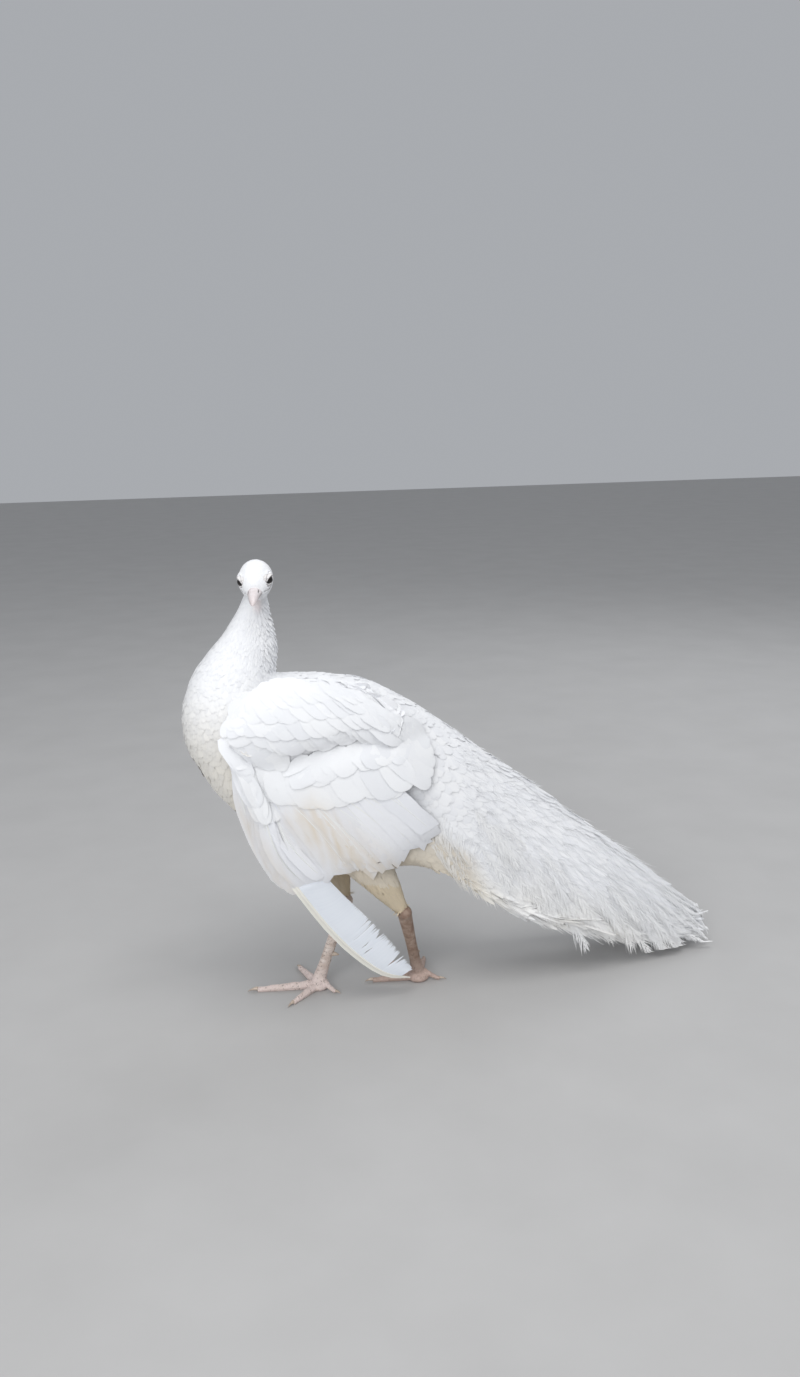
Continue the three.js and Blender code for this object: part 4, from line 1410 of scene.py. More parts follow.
@dataclass
class Face:
    """The outer face of one wing, kept as how far out it lies over X and Z."""

    nodes: tuple[str, ...]
    side: int  # -1 for the left wing, 1 for the right
    step: float = 3.0
    probe: float = 4.0  # how far to each side the face's slope is felt
    rounds: int = 5  # of smoothing
    edge: int = 10  # cells of the wing's margin that don't count as well covered
    low: Pair = (-315.0, 0.0)
    size: tuple[int, int] = (160, 162)

    def __post_init__(self) -> None:
        """Feels the CAD wing's outer face on a grid, and the body's own side beyond it."""
        y = self.felt(self.nodes)
        self.known = ~np.isnan(y)
        known = self.known.copy()
        y = np.where(known, y, 0.0)
        away = np.zeros_like(y)
        while not known.all():
            total, count = np.zeros_like(y), np.zeros_like(y)
            for axis in (0, 1):
                for shift in (-1, 1):
                    total += np.roll(np.where(known, y, 0.0), shift, axis)
                    count += np.roll(known, shift, axis)
            fresh = ~known & (count > 0)
            y[fresh] = total[fresh] / count[fresh]
            away[~known] += self.step
            known |= fresh
        # past the wing's edges its face falls away, fastest over the back, down to the body's own side
        body = np.nan_to_num(self.felt(("breast", "trunk", "rump", "neck_lower")) * self.side, nan=-99.0)
        fall = np.interp(self.low[1] + self.step * np.arange(self.size[1]), (380, 440), (0.5, 1.2))
        beyond = np.maximum(y * self.side - away * fall, body) * self.side
        y = np.where(self.known, y, beyond)
        for _ in range(self.rounds):
            y = (y + np.roll(y, 1, 0) + np.roll(y, -1, 0) + np.roll(y, 1, 1) + np.roll(y, -1, 1)) / 5
        self.y = y

    def felt(self, nodes: tuple[str, ...]) -> Array:
        """Returns how far out CAD nodes lie over the grid, or NaN where they don't."""
        points, corners = [], []
        for node in nodes:
            mesh = FRAME["nodes"][node].data
            start = len(points)
            points += [tuple(v.co) for v in mesh.vertices]
            corners += [tuple(start + i for i in p.vertices) for p in mesh.polygons]
        tree = BVHTree.FromPolygons(points, corners)
        y = np.full(self.size, np.nan)
        toward = Vector((0, -self.side, 0))
        for i in range(self.size[0]):
            for j in range(self.size[1]):
                x, z = self.low[0] + i * self.step, self.low[1] + j * self.step
                hit = tree.ray_cast(Vector(place((x, self.side * ASIDE, z))), toward)[0]
                if hit is not None:
                    y[i, j] = bird(hit)[1]
        return y

    def read(self, grid: Array, x: Array, z: Array) -> Array:
        """Reads a grid between its points."""
        i, j, a, b = cells(self.size, (x - self.low[0]) / self.step, (z - self.low[1]) / self.step)
        return (
            (grid[i, j] * (1 - a) + grid[i + 1, j] * a) * (1 - b)
            + (grid[i, j + 1] * (1 - a) + grid[i + 1, j + 1] * a) * b
        )

    def covers(self, x: Array, z: Array) -> Array:
        """Returns True where the wing lies well over a place."""
        inner = self.known.copy()
        for _ in range(self.edge):
            inner = (
                inner & np.roll(inner, 1, 0) & np.roll(inner, -1, 0) & np.roll(inner, 1, 1)
                & np.roll(inner, -1, 1)
            )
        return self.read(inner.astype(float), x, z) > 0.5

    def slope(self, x: Array, z: Array, dx: float, dz: float) -> Array:
        """Returns how steeply the face goes out along one direction, over twice the step given."""
        rise = self.read(self.y, x + dx, z + dz) - self.read(self.y, x - dx, z - dz)
        return rise / (2 * (dx + dz))

    def lay(self, x: Array, z: Array, rise: Array) -> tuple[Array, Array]:
        """Returns places on the wing, in metres, and their outward normals.

        Args:
            x: places along the bird.
            z: places up.
            rise: how far out of the wing's face each lies.
        """
        slope_x, slope_z = self.slope(x, z, self.probe, 0.0), self.slope(x, z, 0.0, self.probe)
        out = unit(np.stack([-self.side * slope_x, np.full_like(x, self.side), -self.side * slope_z], -1))
        at = np.stack([x, self.read(self.y, x, z), z], -1) + out * rise[..., None]
        return place(settled(at)), out

    def room(self, tip: Array, way: Array) -> Array:
        """Returns how far back from its tip each feather can reach before it leaves the wing.

        Args:
            tip: the tips' X and Z, (N, 2).
            way: the feathers' directions, (N, 2).
        """
        steps = np.arange(5.0, 110.0, 2.5)
        at = tip[:, None] - way[:, None] * steps[None, :, None]
        held = self.read(self.known.astype(float), at[..., 0], at[..., 1]) > 0.5
        gone = ~held & np.logical_or.accumulate(held, 1)
        return np.where(gone.any(1), steps[gone.argmax(1)], 200.0)


@dataclass(frozen=True)
class Row:
    """A row of wing feathers, given by the line of its tips."""

    tips: tuple[Pair, ...]
    count: int
    length: Pair  # of the first and the last feather
    slope: Pair  # degrees below the level, of the first and the last
    half: float
    rise: Pair = (0.3, 2.2)  # out of the wing's face at root and tip
    cut: Cut = Cut.COVERT
    bow: float = 0.05
    roll: float = 2.6
    torn: float = 0.0
    loose: float = 1.0
    quill: float = 0.8  # half width of the shaft at its root


@dataclass
class Wing:
    """One wing: rows of coverts, the secondaries and the primaries, laid like shingles on its face."""

    skin: Skin
    name: str
    side: int
    coverts: tuple[Row, ...]
    flights: tuple[Row, ...]
    seed: int
    shaft_rise: float = 0.0003  # metres out of the vane for each millimetre of the quill
    shaft_thick: float = 0.0004  # half thickness in metres for each millimetre of the quill

    def build(self) -> Face:
        """Builds the wing's feathers and returns its face."""
        nodes = tuple(f"wing_{self.name}_{part}" for part in ("coverts", "secondaries", "primaries"))
        self.face = Face(nodes, self.side)
        rng = np.random.default_rng(self.seed)
        groups = [self.row(row, rng) for row in self.flights]
        piece = feathers(f"wing_{self.name}_quills", groups, QUILLS, wing_tint)
        own(piece, "flight_feather", *nodes[1:])
        shafts = [self.shafts(row, g) for row, g in zip(self.flights, groups)]
        own(feathers(f"wing_{self.name}_shafts", shafts, SHAFT, cool_white), "flight_feather")
        own(
            feathers(
                f"wing_{self.name}_coat", [self.row(row, rng).lying(0.9) for row in self.coverts], WHITE,
                wing_tint
            ),
            "plumage"
        )
        return self.face

    def row(self, row: Row, rng: np.random.Generator) -> Vanes:
        """Lays one row of feathers."""
        n = row.count
        f = np.linspace(0, 1, n)
        jitter = rng.normal(0, 1, (4, n)) * row.loose
        tip = (
            along(row.tips, np.clip(f + jitter[0] * 0.12 / n, 0, 1))
            + rng.normal(0, 0.9, (n, 2)) * row.loose
        )
        slope = np.radians(between(row.slope, f) + jitter[1] * 2.2)
        length = between(row.length, f) * (1 + jitter[2] * 0.03)
        way = np.stack([np.cos(slope), -np.sin(slope)], 1)
        if row.cut is Cut.COVERT:
            length = np.minimum(length, np.maximum(self.face.room(tip, way) + 2.0, 17.0))
        root = tip - way * length[:, None]
        if row.torn:  # torn ends break off at uneven lengths
            length = length + rng.uniform(-5.0, 7.0, n) * row.torn
        share, shape = row.cut.outline()
        across = np.stack([-way[:, 1], way[:, 0]], 1)
        path = root[:, None] + way[:, None] * (length[:, None] * share)[..., None]
        path = path + across[:, None] * (row.bow * length[:, None] * np.sin(np.pi * share))[..., None]
        lift = between(row.rise, share[None]) + 0.2 * (np.arange(n) % 2)[:, None]
        lift = lift + 0.15 * np.abs(jitter[3])[:, None] * share[None] ** 3
        if row.cut is Cut.COVERT:
            lift = lift * np.interp(path[..., 0], (-90, -30), (1.0, 0.35))
        line, normal = self.face.lay(path[..., 0], path[..., 1], lift)
        heading = unit(np.gradient(line, axis=1))
        across3 = np.cross(heading, normal)
        roll = np.radians(row.roll) * self.side
        normal = unit(normal * math.cos(roll) + across3 * math.sin(roll))
        half = row.half * MM * shape[None] * (1 + 0.06 * jitter[3])[:, None]
        patch = self.skin.patch(line[:, 0])
        skew = rng.choice((-1.0, 1.0), n) * rng.uniform(0.3, 0.95, n) * row.torn if row.torn else None
        ring = 8 if len(share) > 6 else 4
        ragged = rng.uniform(0.95, 1.04, (n, len(share), 2))
        return Vanes(line, normal, half, patch, rng.random(n), Thick.FLIGHT, 0.03, ring, ragged, skew)

    def shafts(self, row: Row, group: Vanes) -> Vanes:
        """Runs a pale shaft down the outer face of each feather of a row."""
        n, k = group.half.shape
        end = int(k * 0.9)
        line = (group.line + group.normal * row.quill * self.shaft_rise)[:, :end]
        half = np.tile(np.linspace(row.quill, row.quill * 0.35, end) * MM, (n, 1))
        return Vanes(
            line, group.normal[:, :end], half, group.patch, group.shade, row.quill * self.shaft_thick, 0.0,
            4
        )


SHAFT = Plumage("feather_shafts", barb=4.0, strength=0.1, tone=(1.0, 0.985, 0.94))

LEFT_FLIGHTS = (
    Row(
        ((-214, 206), (-200, 190), (-186, 180), (-170, 176), (-157, 186), (-151, 199)), 8, (160, 150),
        (70, 60), 13.0, (-1.0, 0.4), Cut.FLIGHT, -0.09, 3.4, quill=1.5
    ),
    Row(
        (
            (-150, 200), (-136, 201), (-122, 200), (-110, 217), (-97, 212), (-80, 199), (-68, 211),
            (-52, 211), (-30, 220), (-13, 233), (-7, 246)
        ),
        22, (150, 125), (57, 44), 14.0, (-0.6, 0.9), Cut.TORN, 0.03, 3.2, 1.0
    ),
)
LEFT_COVERTS = (
    Row(
        ((-240, 300), (-205, 309), (-171, 300), (-132, 294), (-90, 306), (-50, 302), (-26, 322)), 15,
        (64, 66), (62, 44), 19.0, (0.2, 1.2), roll=2.2, loose=1.8
    ),
    Row(
        ((-262, 356), (-258, 330), (-250, 304), (-236, 282), (-212, 282)), 10, (56, 62), (80, 60), 11.5,
        (0.4, 2.4), roll=4.0, loose=1.8
    ),
    Row(
        ((-252, 362), (-219, 352), (-184, 342), (-154, 326), (-125, 338), (-80, 343), (-36, 346)), 16,
        (72, 76), (62, 40), 19.0, (0.4, 1.8), roll=2.2, loose=2.0
    ),
    Row(
        (
            (-255, 384), (-213, 381), (-183, 372), (-142, 372), (-122, 378), (-96, 380), (-64, 374),
            (-40, 371)
        ),
        16, (56, 62), (62, 36), 19.0, (1.2, 2.6), loose=1.5
    ),
    Row(
        ((-255, 398), (-230, 398), (-190, 392), (-140, 392), (-90, 396), (-56, 390)), 15, (42, 50),
        (60, 34), 17.0, (2.2, 3.6)
    ),
    Row(
        ((-250, 408), (-222, 414), (-180, 412), (-130, 412), (-86, 412)), 14, (38, 46), (56, 32), 16.0,
        (2.0, 3.2)
    ),
    Row(
        ((-244, 420), (-210, 428), (-170, 430), (-120, 430), (-84, 422)), 13, (34, 44), (52, 30), 15.0,
        (1.4, 2.6)
    ),
    Row(((-232, 430), (-200, 438), (-160, 438), (-116, 431)), 12, (28, 38), (40, 24), 14.0, (0.4, 1.6)),
    Row(((-24, 372), (-8, 362), (2, 338), (-6, 306)), 9, (60, 64), (34, 34), 15.0, (2.0, 1.6), roll=1.0),
)
RIGHT_FLIGHTS = (
    Row(
        ((-100, 242), (-60, 231), (-10, 224), (50, 228), (112, 246)), 11, (150, 150), (36, 20), 12.0,
        (-1.0, 0.2), Cut.FLIGHT, 0.02, 3.0
    ),
    Row(
        ((-150, 272), (-112, 257), (-50, 250), (8, 261), (60, 282)), 16, (120, 120), (40, 24), 16.0,
        (-0.4, 0.8), Cut.FLIGHT, 0.03, 3.2
    ),
)
RIGHT_COVERTS = (
    Row(
        ((-240, 334), (-190, 312), (-140, 300), (-80, 294), (-14, 308)), 15, (58, 66), (52, 30), 19.0,
        (0.3, 1.6)
    ),
    Row(
        ((-254, 352), (-200, 336), (-140, 326), (-80, 322), (-16, 334)), 14, (52, 62), (52, 28), 19.0,
        (0.8, 2.2)
    ),
    Row(
        ((-262, 376), (-210, 362), (-150, 352), (-90, 350), (-22, 362)), 14, (48, 56), (52, 28), 18.0,
        (1.2, 2.4)
    ),
    Row(
        ((-262, 396), (-215, 386), (-150, 378), (-90, 376), (-30, 388)), 14, (42, 52), (50, 28), 17.0,
        (1.4, 2.6)
    ),
    Row(
        ((-256, 412), (-215, 406), (-160, 398), (-100, 394), (-50, 396)), 14, (34, 36), (44, 24), 16.0,
        (0.4, 1.5)
    ),
    Row(
        ((-62, 412), (-30, 394), (-12, 366), (-8, 336), (-12, 312)), 11, (58, 54), (30, 34), 14.0,
        (0.6, 1.0), roll=1.0
    ),
)


@dataclass
class Mantle:
    """The shoulder feathers, that bridge the grooves between the back and the wings' upper rims."""

    skin: Skin
    low: float = -244.0
    step: float = 4.0
    apart: float = 3.0  # between the grid's lines outward
    size: tuple[int, int] = (58, 31)

    def height(self, side: int) -> Array:
        """Returns the draped surface's height over a grid of X and distance out to one side."""
        down = Vector((0, 0, -1))
        z = np.zeros(self.size)
        for i in range(self.size[0]):
            for j in range(self.size[1]):
                hit = self.skin.tree.ray_cast(
                    Vector(place((self.low + i * self.step, side * j * self.apart, 470.0))), down
                )[0]
                z[i, j] = bird(hit)[2] if hit is not None else z[i, j - 1] - 6.0
        out = np.arange(self.size[1]) * self.apart
        for row in z:
            rim = 15 + int(np.argmax(row[15:25]))
            line = np.interp(out, (0, out[rim]), (row[0], row[rim]))
            share = smooth(8, 44, out) * (out <= out[rim])
            row[:] = np.maximum(row, row + (line - row) * share)
        for _ in range(3):
            inner = (z[:-2, 1:-1] + z[2:, 1:-1] + z[1:-1, :-2] + z[1:-1, 2:] + 2 * z[1:-1, 1:-1]) / 6
            z[1:-1, 1:-1] = inner
        return z

    def build(self) -> Thing:
        """Builds the feathers of both sides."""
        rng = np.random.default_rng(Seed.MANTLE)
        groups = []
        share, shape = Cut.COVERT.outline()
        for side in (-1, 1):
            field = self.height(side)
            for k, out in enumerate((52.0, 45.0, 38.0, 30.0, 22.0, 14.0)):
                x = np.arange(-226.0 + 6 * k, -62.0 + 3 * k, 9.0) + 4.5 * (k % 2)
                n = len(x)
                x, y = x + rng.normal(0, 1.2, n), out + rng.normal(0, 1.2, n)
                turn = np.radians(np.interp(x, (-220, -60), (34, 20)) + rng.normal(0, 3.0, n))
                long = np.interp(x, (-220, -60), (30, 44)) * rng.uniform(0.92, 1.08, n)
                px = x[:, None] + np.cos(turn)[:, None] * long[:, None] * share
                py = y[:, None] + np.sin(turn)[:, None] * long[:, None] * share
                pz, sx, sy = self.read(field, px, py)
                normal = unit(np.stack([-sx, -side * sy, np.ones_like(sx)], -1))
                rise = 0.4 + 2.2 * share[None] + 0.3 * rng.random((n, 1))
                line = place(np.stack([px, side * py, pz], -1) + normal * rise[..., None])
                half = shape[None] * np.interp(x, (-220, -60), (7.5, 10.5))[:, None] * MM
                ragged = rng.uniform(0.92, 1.06, (n, len(share), 2))
                groups.append(
                    Vanes(
                        line, normal, half, self.skin.patch(line[:, 0]), rng.random(n), Thick.LOCK, 0.08, 8,
                        ragged
                    ).lying(0.8)
                )
        return own(feathers("mantle", groups, WHITE), "plumage")

    def read(self, field: Array, x: Array, out: Array) -> tuple[Array, Array, Array]:
        """Returns the field's height at places and its slopes along X and outward."""
        i, j, a, b = cells(self.size, (x - self.low) / self.step, out / self.apart)
        low = field[i, j] * (1 - a) + field[i + 1, j] * a
        high = field[i, j + 1] * (1 - a) + field[i + 1, j + 1] * a
        slope = (field[i + 1, j] - field[i, j]) * (1 - b) + (field[i + 1, j + 1] - field[i, j + 1]) * b
        return low * (1 - b) + high * b, slope / self.step, (high - low) / self.apart


@dataclass
class LongPrimary:
    """The one primary left whole: a broad inner vane of split barbs, and a pale shaft in front."""

    skin: Skin
    leading: tuple[Pair, ...] = (
        (-206.0, 210.0), (-186.8, 179.5), (-150, 122), (-112.5, 75), (-71, 38), (-30, 24)
    )
    trailing: tuple[Pair, ...] = (
        (-166.0, 222.0), (-148.8, 196.5), (-121, 160.5), (-85.5, 119), (-50, 74), (-25, 35)
    )
    out: tuple[float, ...] = (64.0, 71.5, 64.0, 56.6, 49.2, 42.0)  # from the mid plane, from root to tip
    barbs: int = 170

    def spot(self, u: Array, v: Array, rise: Array | float = 0.0) -> Array:
        """Returns places on the blade, u from root to tip and v from its leading to its trailing edge."""
        p = along(self.leading, u) * (1 - v)[..., None] + along(self.trailing, u) * v[..., None]
        out = np.interp(u, np.linspace(0, 1, len(self.out)), self.out) + 5.0 * np.sin(np.pi * v) + rise
        return place(np.stack([p[..., 0], -out, p[..., 1]], -1))

    def build(self) -> Thing:
        """Builds the feather."""
        rng = np.random.default_rng(Seed.LONG_PRIMARY)
        n, k = self.barbs, 7
        f = (np.arange(n) + 0.5) / n
        s = np.linspace(0, 1, k)
        start = -0.05 + 0.97 * f
        # past the middle the barbs part into locks
        lock = np.cumsum(rng.random(n) < 0.16)
        loose = rng.random(lock[-1] + 1)[lock]
        split = smooth(0.44, 0.62, f) * (0.15 + 0.85 * loose)
        reach = 1.02 - 0.10 * split * rng.random(n)
        sweep = 0.085 - 0.03 * f + 0.022 * split * rng.normal(0, 1, lock[-1] + 1)[lock]
        u = start[:, None] + (sweep[:, None] * s + 0.012 * split[:, None] * s**2)
        v = 0.12 + (reach[:, None] - 0.12) * s[None]
        line = self.spot(np.clip(u, 0, 1), v, 0.16 * (np.arange(n)[:, None] % 2))
        wide = 0.78 / n * 290 * MM
        close = 1 - split[:, None] * smooth(0.45, 1.0, s)[None] * 0.6
        half = wide * close * np.where(s > 0.97, 0.35, 1.0)
        normal = np.broadcast_to(np.array((0.0, -1.0, 0.25)), line.shape).copy()
        patch = np.repeat(self.skin.patch(self.spot(np.array([0.0]), np.array([0.5]))), n, 0)
        inner = Vanes(line, unit(normal), half, patch, rng.random(n) * 0.4 + 0.3, Thick.FLIGHT, 0.0, 4)
        m = 16
        s = np.linspace(0, 1, m)
        edge = self.spot(s, np.full(m, 0.045), 0.4)[None]
        outer = Vanes(
            edge, unit(normal[:1, :1] + np.zeros((1, m, 3))),
            (0.0036 * np.interp(s, [0, 0.1, 0.9, 1], [0.5, 1, 0.8, 0.2]))[None], patch[:1], np.array([0.5]),
            0.0005, 0.1, 8
        )
        piece = feathers("long_primary", [inner], LONG, cool_white)
        own(piece, "flight_feather", "wing_left_long_primary")
        shaft = self.spot(s * 0.995, np.full(m, 0.11), 1.1)[None]
        half = (np.interp(s, [0, 1], [0.0023, 0.0008]))[None]
        return own(
            feathers(
                "long_primary_shaft",
                [outer, Vanes(shaft, outer.normal, half, patch[:1], np.array([0.5]), Thick.SHAFT, 0.0, 8)],
                CREAM, cool_white
            ),
            "flight_feather"
        )


LONG = Plumage("long_primary_finish", barb=1.2, strength=0.6, tone=(0.95, 0.97, 1.0))
CREAM = Plumage("cream_shaft", barb=2.0, strength=0.3, tone=(1.0, 0.955, 0.85))


# ---------------------------------------------------------------- train


TRAIN_FROM = 9  # the first of the body's stations that the train grows from


@dataclass
class Train:
    """The long loose tail coverts: narrow plumes, wisps over them, and a ragged lower edge and tip."""

    skin: Skin
    free: float = 424.0  # how far back a feather reaches freely, in bird millimetres
    past: float = 20.0  # how much further it may go
    floor: float = 2.0  # how far off the floor it's kept

    def build(self) -> None:
        """Builds the train's plumes and wisps, its hems, loose ends and ridge, and the combs of barbs on
        the flanks.
        """
        middle = bird(self.skin.middle)
        x = middle[:, 0]
        up = self.height(middle)
        plumes = self.layer(
            Seed.PLUMES, (x > 60) & (x < 386) & (up > 0.13 + 0.1 * smooth(300, 380, x)),
            np.full(len(x), 7.2), (1.05, 0.75), Cut.LONG, 4, 0.06, (0.62, 0.84), Thick.PLUME
        )
        own(feathers("train_plumes", [plumes], WHITE), "plumage")
        wisps = self.layer(
            Seed.WISPS, (x > 30) & (x < 398) & (up > 0.16), np.full(len(x), 4.3), (0.62, 0.0), Cut.WISP, 3,
            0.20, (0.7, 1.25), Thick.WISP
        )
        own(feathers("train_wisps", [wisps], WHITE), "plumage")
        tip = self.skin.scatter(Seed.ENDS, (x > 335) & (x < 402), np.full(len(x), 11.0))
        for side, name in ((-1, "left"), (1, "right")):
            own(feathers(f"train_hem_{name}", self.hem(side), WHITE, train_tint), "plumage")
            own(
                feathers(f"flank_comb_{name}", [self.comb(side), self.fringe(side)], WHITE, train_tint),
                "plumage"
            )
        ends = self.loose(Seed.END_PLUMES, *tip, (50, 96), (-0.12, 0.16), 4.4)
        own(feathers("train_ends", ends, WHITE, train_tint), "plumage")
        own(feathers("train_ridge", [self.ridge()], WHITE), "plumage")

    def layer(
        self, seed: int, chosen: Array, gap: Array, size: Pair, cut: Cut, ring: int, stray: float,
        rise: Pair, thick: float
    ) -> Vanes:
        """Lays one layer of long narrow feathers over the train.

        Args:
            seed: the random seed.
            chosen: the skin's triangles that carry them.
            gap: the distance between roots.
            size: length and width, as shares of the lie's own.
            cut: their outline.
            ring: how many sides their section has.
            stray: how far they turn from the lie, in radians.
            rise: how high root and tip stand, as shares of the coat's depth.
            thick: half their thickness in metres.
        """
        root, out, uv = self.skin.scatter(seed, chosen, gap)
        rng = np.random.default_rng(seed + 50)
        n, at = len(root), bird(root)
        g, high = LIE.read(at), self.height(at)
        length = g.length * size[0] * (0.75 + 0.5 * rng.random(n))
        length = np.minimum(length, 12 + (430 - at[:, 0]) * 1.15)
        length *= np.interp(high, (0.12, 0.30), (0.42, 1.0))
        width = g.width * size[1] * (0.8 + 0.4 * rng.random(n)) if size[1] else np.full(n, 0.9)
        width *= np.interp(high, (0.12, 0.34), (0.45, 1.0))
        way = flattened(g.way, out)
        turn = rng.normal(0, stray, n)
        across = np.cross(out, way)
        way = swung(way, across, turn)
        share, shape = cut.outline()
        line, normal = self.skin.follow(root, way, share[None] * length[:, None] * MM)
        bend = rng.normal(0, 0.06, n)[:, None] * share[None] ** 2 * length[:, None] * MM
        line = line + across[:, None] * bend[..., None]
        normal = self.over_ridge(line, normal)
        top = rise[0] + (rise[1] - rise[0]) * share[None] ** 1.5 * (0.85 + 0.3 * rng.random((n, 1)))
        line = line + normal * (top * g.depth[:, None] * MM)[..., None]
        half = shape[None] * width[:, None] * 0.5 * MM
        return self.held(Vanes(line, normal, half, uv, rng.random(n), thick, 0.2, ring))

    @classmethod
    def over_ridge(cls, line: Array, normal: Array) -> Array:
        """Returns the normals turned upright near the ridge, where no vane may show its underside."""
        flat = cls.height(bird(line).reshape(-1, 3)).reshape(line.shape[:2])
        turned = normal.copy()
        turned[..., 1] *= 1 - 0.5 * smooth(0.84, 0.98, flat)
        return unit(turned)

    @staticmethod
    def height(points: Array) -> Array:
        """Returns how far up the train each point lies, 0 at its lower line and 1 along its back."""
        x, _, z = points.T
        bottom, top = (level(x, part, TRAIN_FROM) for part in ("belly", "back"))
        return (z - bottom) / np.maximum(top - bottom, 1.0)

    def loose(
        self, seed: int, root: Array, out: Array, uv: Array, length: Pair, fall: Pair, reach: float,
        end: float = 446.0
    ) -> list[Vanes]:
        """Lays loose plumes along the train, that go straight on past its edge.

        Args:
            seed: the random seed.
            root: where they grow, (N, 3) metres.
            out: the skin's normals there.
            uv: the places there on the skin's unwrap.
            length: the least and the most, in millimetres.
            fall: the least and the most that a plume turns downwards, in radians.
            reach: from the shaft to the barbs' ends, in millimetres.
            end: how far back they may go, in bird millimetres.
        """
        rng = np.random.default_rng(seed + 50)
        n, k = len(root), 9
        share = np.linspace(0, 1, k)
        down = np.array((0.0, 0.0, -1.0))
        at = bird(root)
        growth = LIE.read(at)
        way = unit(growth.way + down * np.tan(rng.uniform(*fall, n))[:, None])
        way = flattened(way, out)
        long = np.minimum(rng.uniform(*length, n), (end - at[:, 0]) / np.maximum(way[:, 0], 0.4))
        high = at[:, 2] - 7.0 - 0.2 * np.abs(at[:, 1])
        long = np.minimum(long, np.maximum(high / np.maximum(-way[:, 2], 0.05), 16.0))
        line, normal = self.skin.follow(root, way, share * long[:, None] * MM)
        # past its root a plume leaves the skin and runs straight
        free = smooth(0.1, 0.5, share)[None, :, None]
        line = line + (root[:, None] + way[:, None] * (share * long[:, None] * MM)[..., None] - line) * free
        normal = unit(normal + (out[:, None] - normal) * free)
        lift = growth.depth[:, None] * (0.80 + 0.30 * share + rng.uniform(0, 0.2, (n, 1)))
        line = line + normal * (lift * MM)[..., None]
        across = np.cross(out, way)
        bend = rng.normal(0, 0.07, n)[:, None] * long[:, None] * share**2 * MM
        line = (
            line + across[:, None] * bend[..., None]
            + down * (rng.uniform(-0.03, 0.09, (n, 1)) * long[:, None] * share**2 * MM)[..., None]
        )
        width = reach * MM * rng.uniform(0.8, 1.2, (n, 2))
        return [self.held(v, 0.26) for v in Plumes(line, normal, width, uv).vanes(seed)]

    def hem(self, side: int) -> list[Vanes]:
        """Lays the plumes that cross the train's lower edge on one side."""
        rng = np.random.default_rng(Seed.HEM + side)
        count = 38
        x = np.linspace(56, 334, count) + rng.normal(0, 3, count)
        bottom, top = (level(x, part, TRAIN_FROM) for part in ("belly", "back"))
        z = bottom + (top - bottom) * rng.uniform(0.26, 0.60, count)
        y = self.skin.outermost(x, z, side)
        root = place(np.stack([x, y, z], 1))
        out = np.array([self.skin.tree.find_nearest(Vector(p))[1] for p in root])
        return self.loose(
            Seed.HEM_PLUMES + side, root, out, self.skin.patch(root), (70, 108), (0.14, 0.50), 9.5, 396.0
        )

    def held(self, group: Vanes, clear: float = 0.0) -> Vanes:
        """Keeps feathers off the floor and draws in those that pass the tip's furthest reach.

        Args:
            group: the feathers.
            clear: how much higher they are kept for each millimetre out from the middle.

        Returns:
            The same feathers, moved.
        """
        p = bird(group.line)
        x = p[..., 0]
        over = np.maximum(x - self.free, 0.0)
        p[..., 0] = np.where(x > self.free, self.free + self.past * (1 - np.exp(-over / 22.0)), x)
        p[..., 2] = np.maximum(p[..., 2], self.floor + clear * np.abs(p[..., 1]) * smooth(240, 330, x))
        group.line = place(p)
        return group

    def ridge(self) -> Vanes:
        """Lays the feathers that lie astride the train's back and close it."""
        rng = np.random.default_rng(Seed.RIDGE)
        x = np.arange(-96.0, 392.0, 4.6)
        n = len(x)
        z = level(x, "back", 6)
        root = place(np.stack([x, rng.normal(0, 3.0, n), z + 20.0], 1))
        down = Vector((0, 0, -1))
        root = np.array([self.skin.tree.ray_cast(Vector(p), down)[0] for p in root])
        g = LIE.read(bird(root))
        way = unit(np.stack([np.gradient(x), rng.normal(0, 0.25, n), np.gradient(z)], 1))
        share, shape = Cut.LONG.outline()
        length = np.minimum(g.length * 0.95, 10 + (self.free - x))
        line, _ = self.skin.follow(root, way, share[None] * length[:, None] * MM)
        up = unit(np.cross(unit(np.gradient(line, axis=1)), (0.0, 1.0, 0.0)))
        up = up * np.where(up[..., 2:] < 0, -1.0, 1.0)
        line = line + up * (
            (0.62 + 0.28 * share[None] + 0.05 * rng.random((n, 1))) * g.depth[:, None] * MM
        )[..., None]
        half = shape[None] * np.interp(x, (-90, 60, 300, 400), (9.0, 8.5, 8.0, 5.0))[:, None] * MM
        return self.held(Vanes(line, up, half, self.skin.patch(root), rng.random(n), Thick.PLUME, 0.34, 8))

    def comb(self, side: int) -> Vanes:
        """Hangs the curtain of curved barbs that closes the flank behind the wing, -1 for the left side."""
        roots = ((-6, 246), (4, 233), (24, 214), (47, 197), (67, 180), (89, 163), (113, 146), (140, 128))
        ends = ((2, 214), (20, 190), (34, 164), (48, 147), (68, 132), (90, 119), (114, 111), (142, 103))
        return self.barbs(side, Seed.COMB, 150, roots, ends, 0.16)

    def fringe(self, side: int) -> Vanes:
        """Hangs single barbs along the train's lower edge, as far as its tip, -1 for the left side."""
        x = np.linspace(122.0, 376.0, 9)
        bottom, top = (level(x, part, TRAIN_FROM) for part in ("belly", "back"))
        far = np.minimum(x + 40.0, 404.0)
        roots = np.stack([x, bottom + 0.20 * (top - bottom)], 1)
        ends = np.stack([far, np.maximum(level(far, "belly", TRAIN_FROM) - 3.0, 12.0)], 1)
        return self.barbs(side, Seed.FRINGE, 330, roots, ends, 0.10)

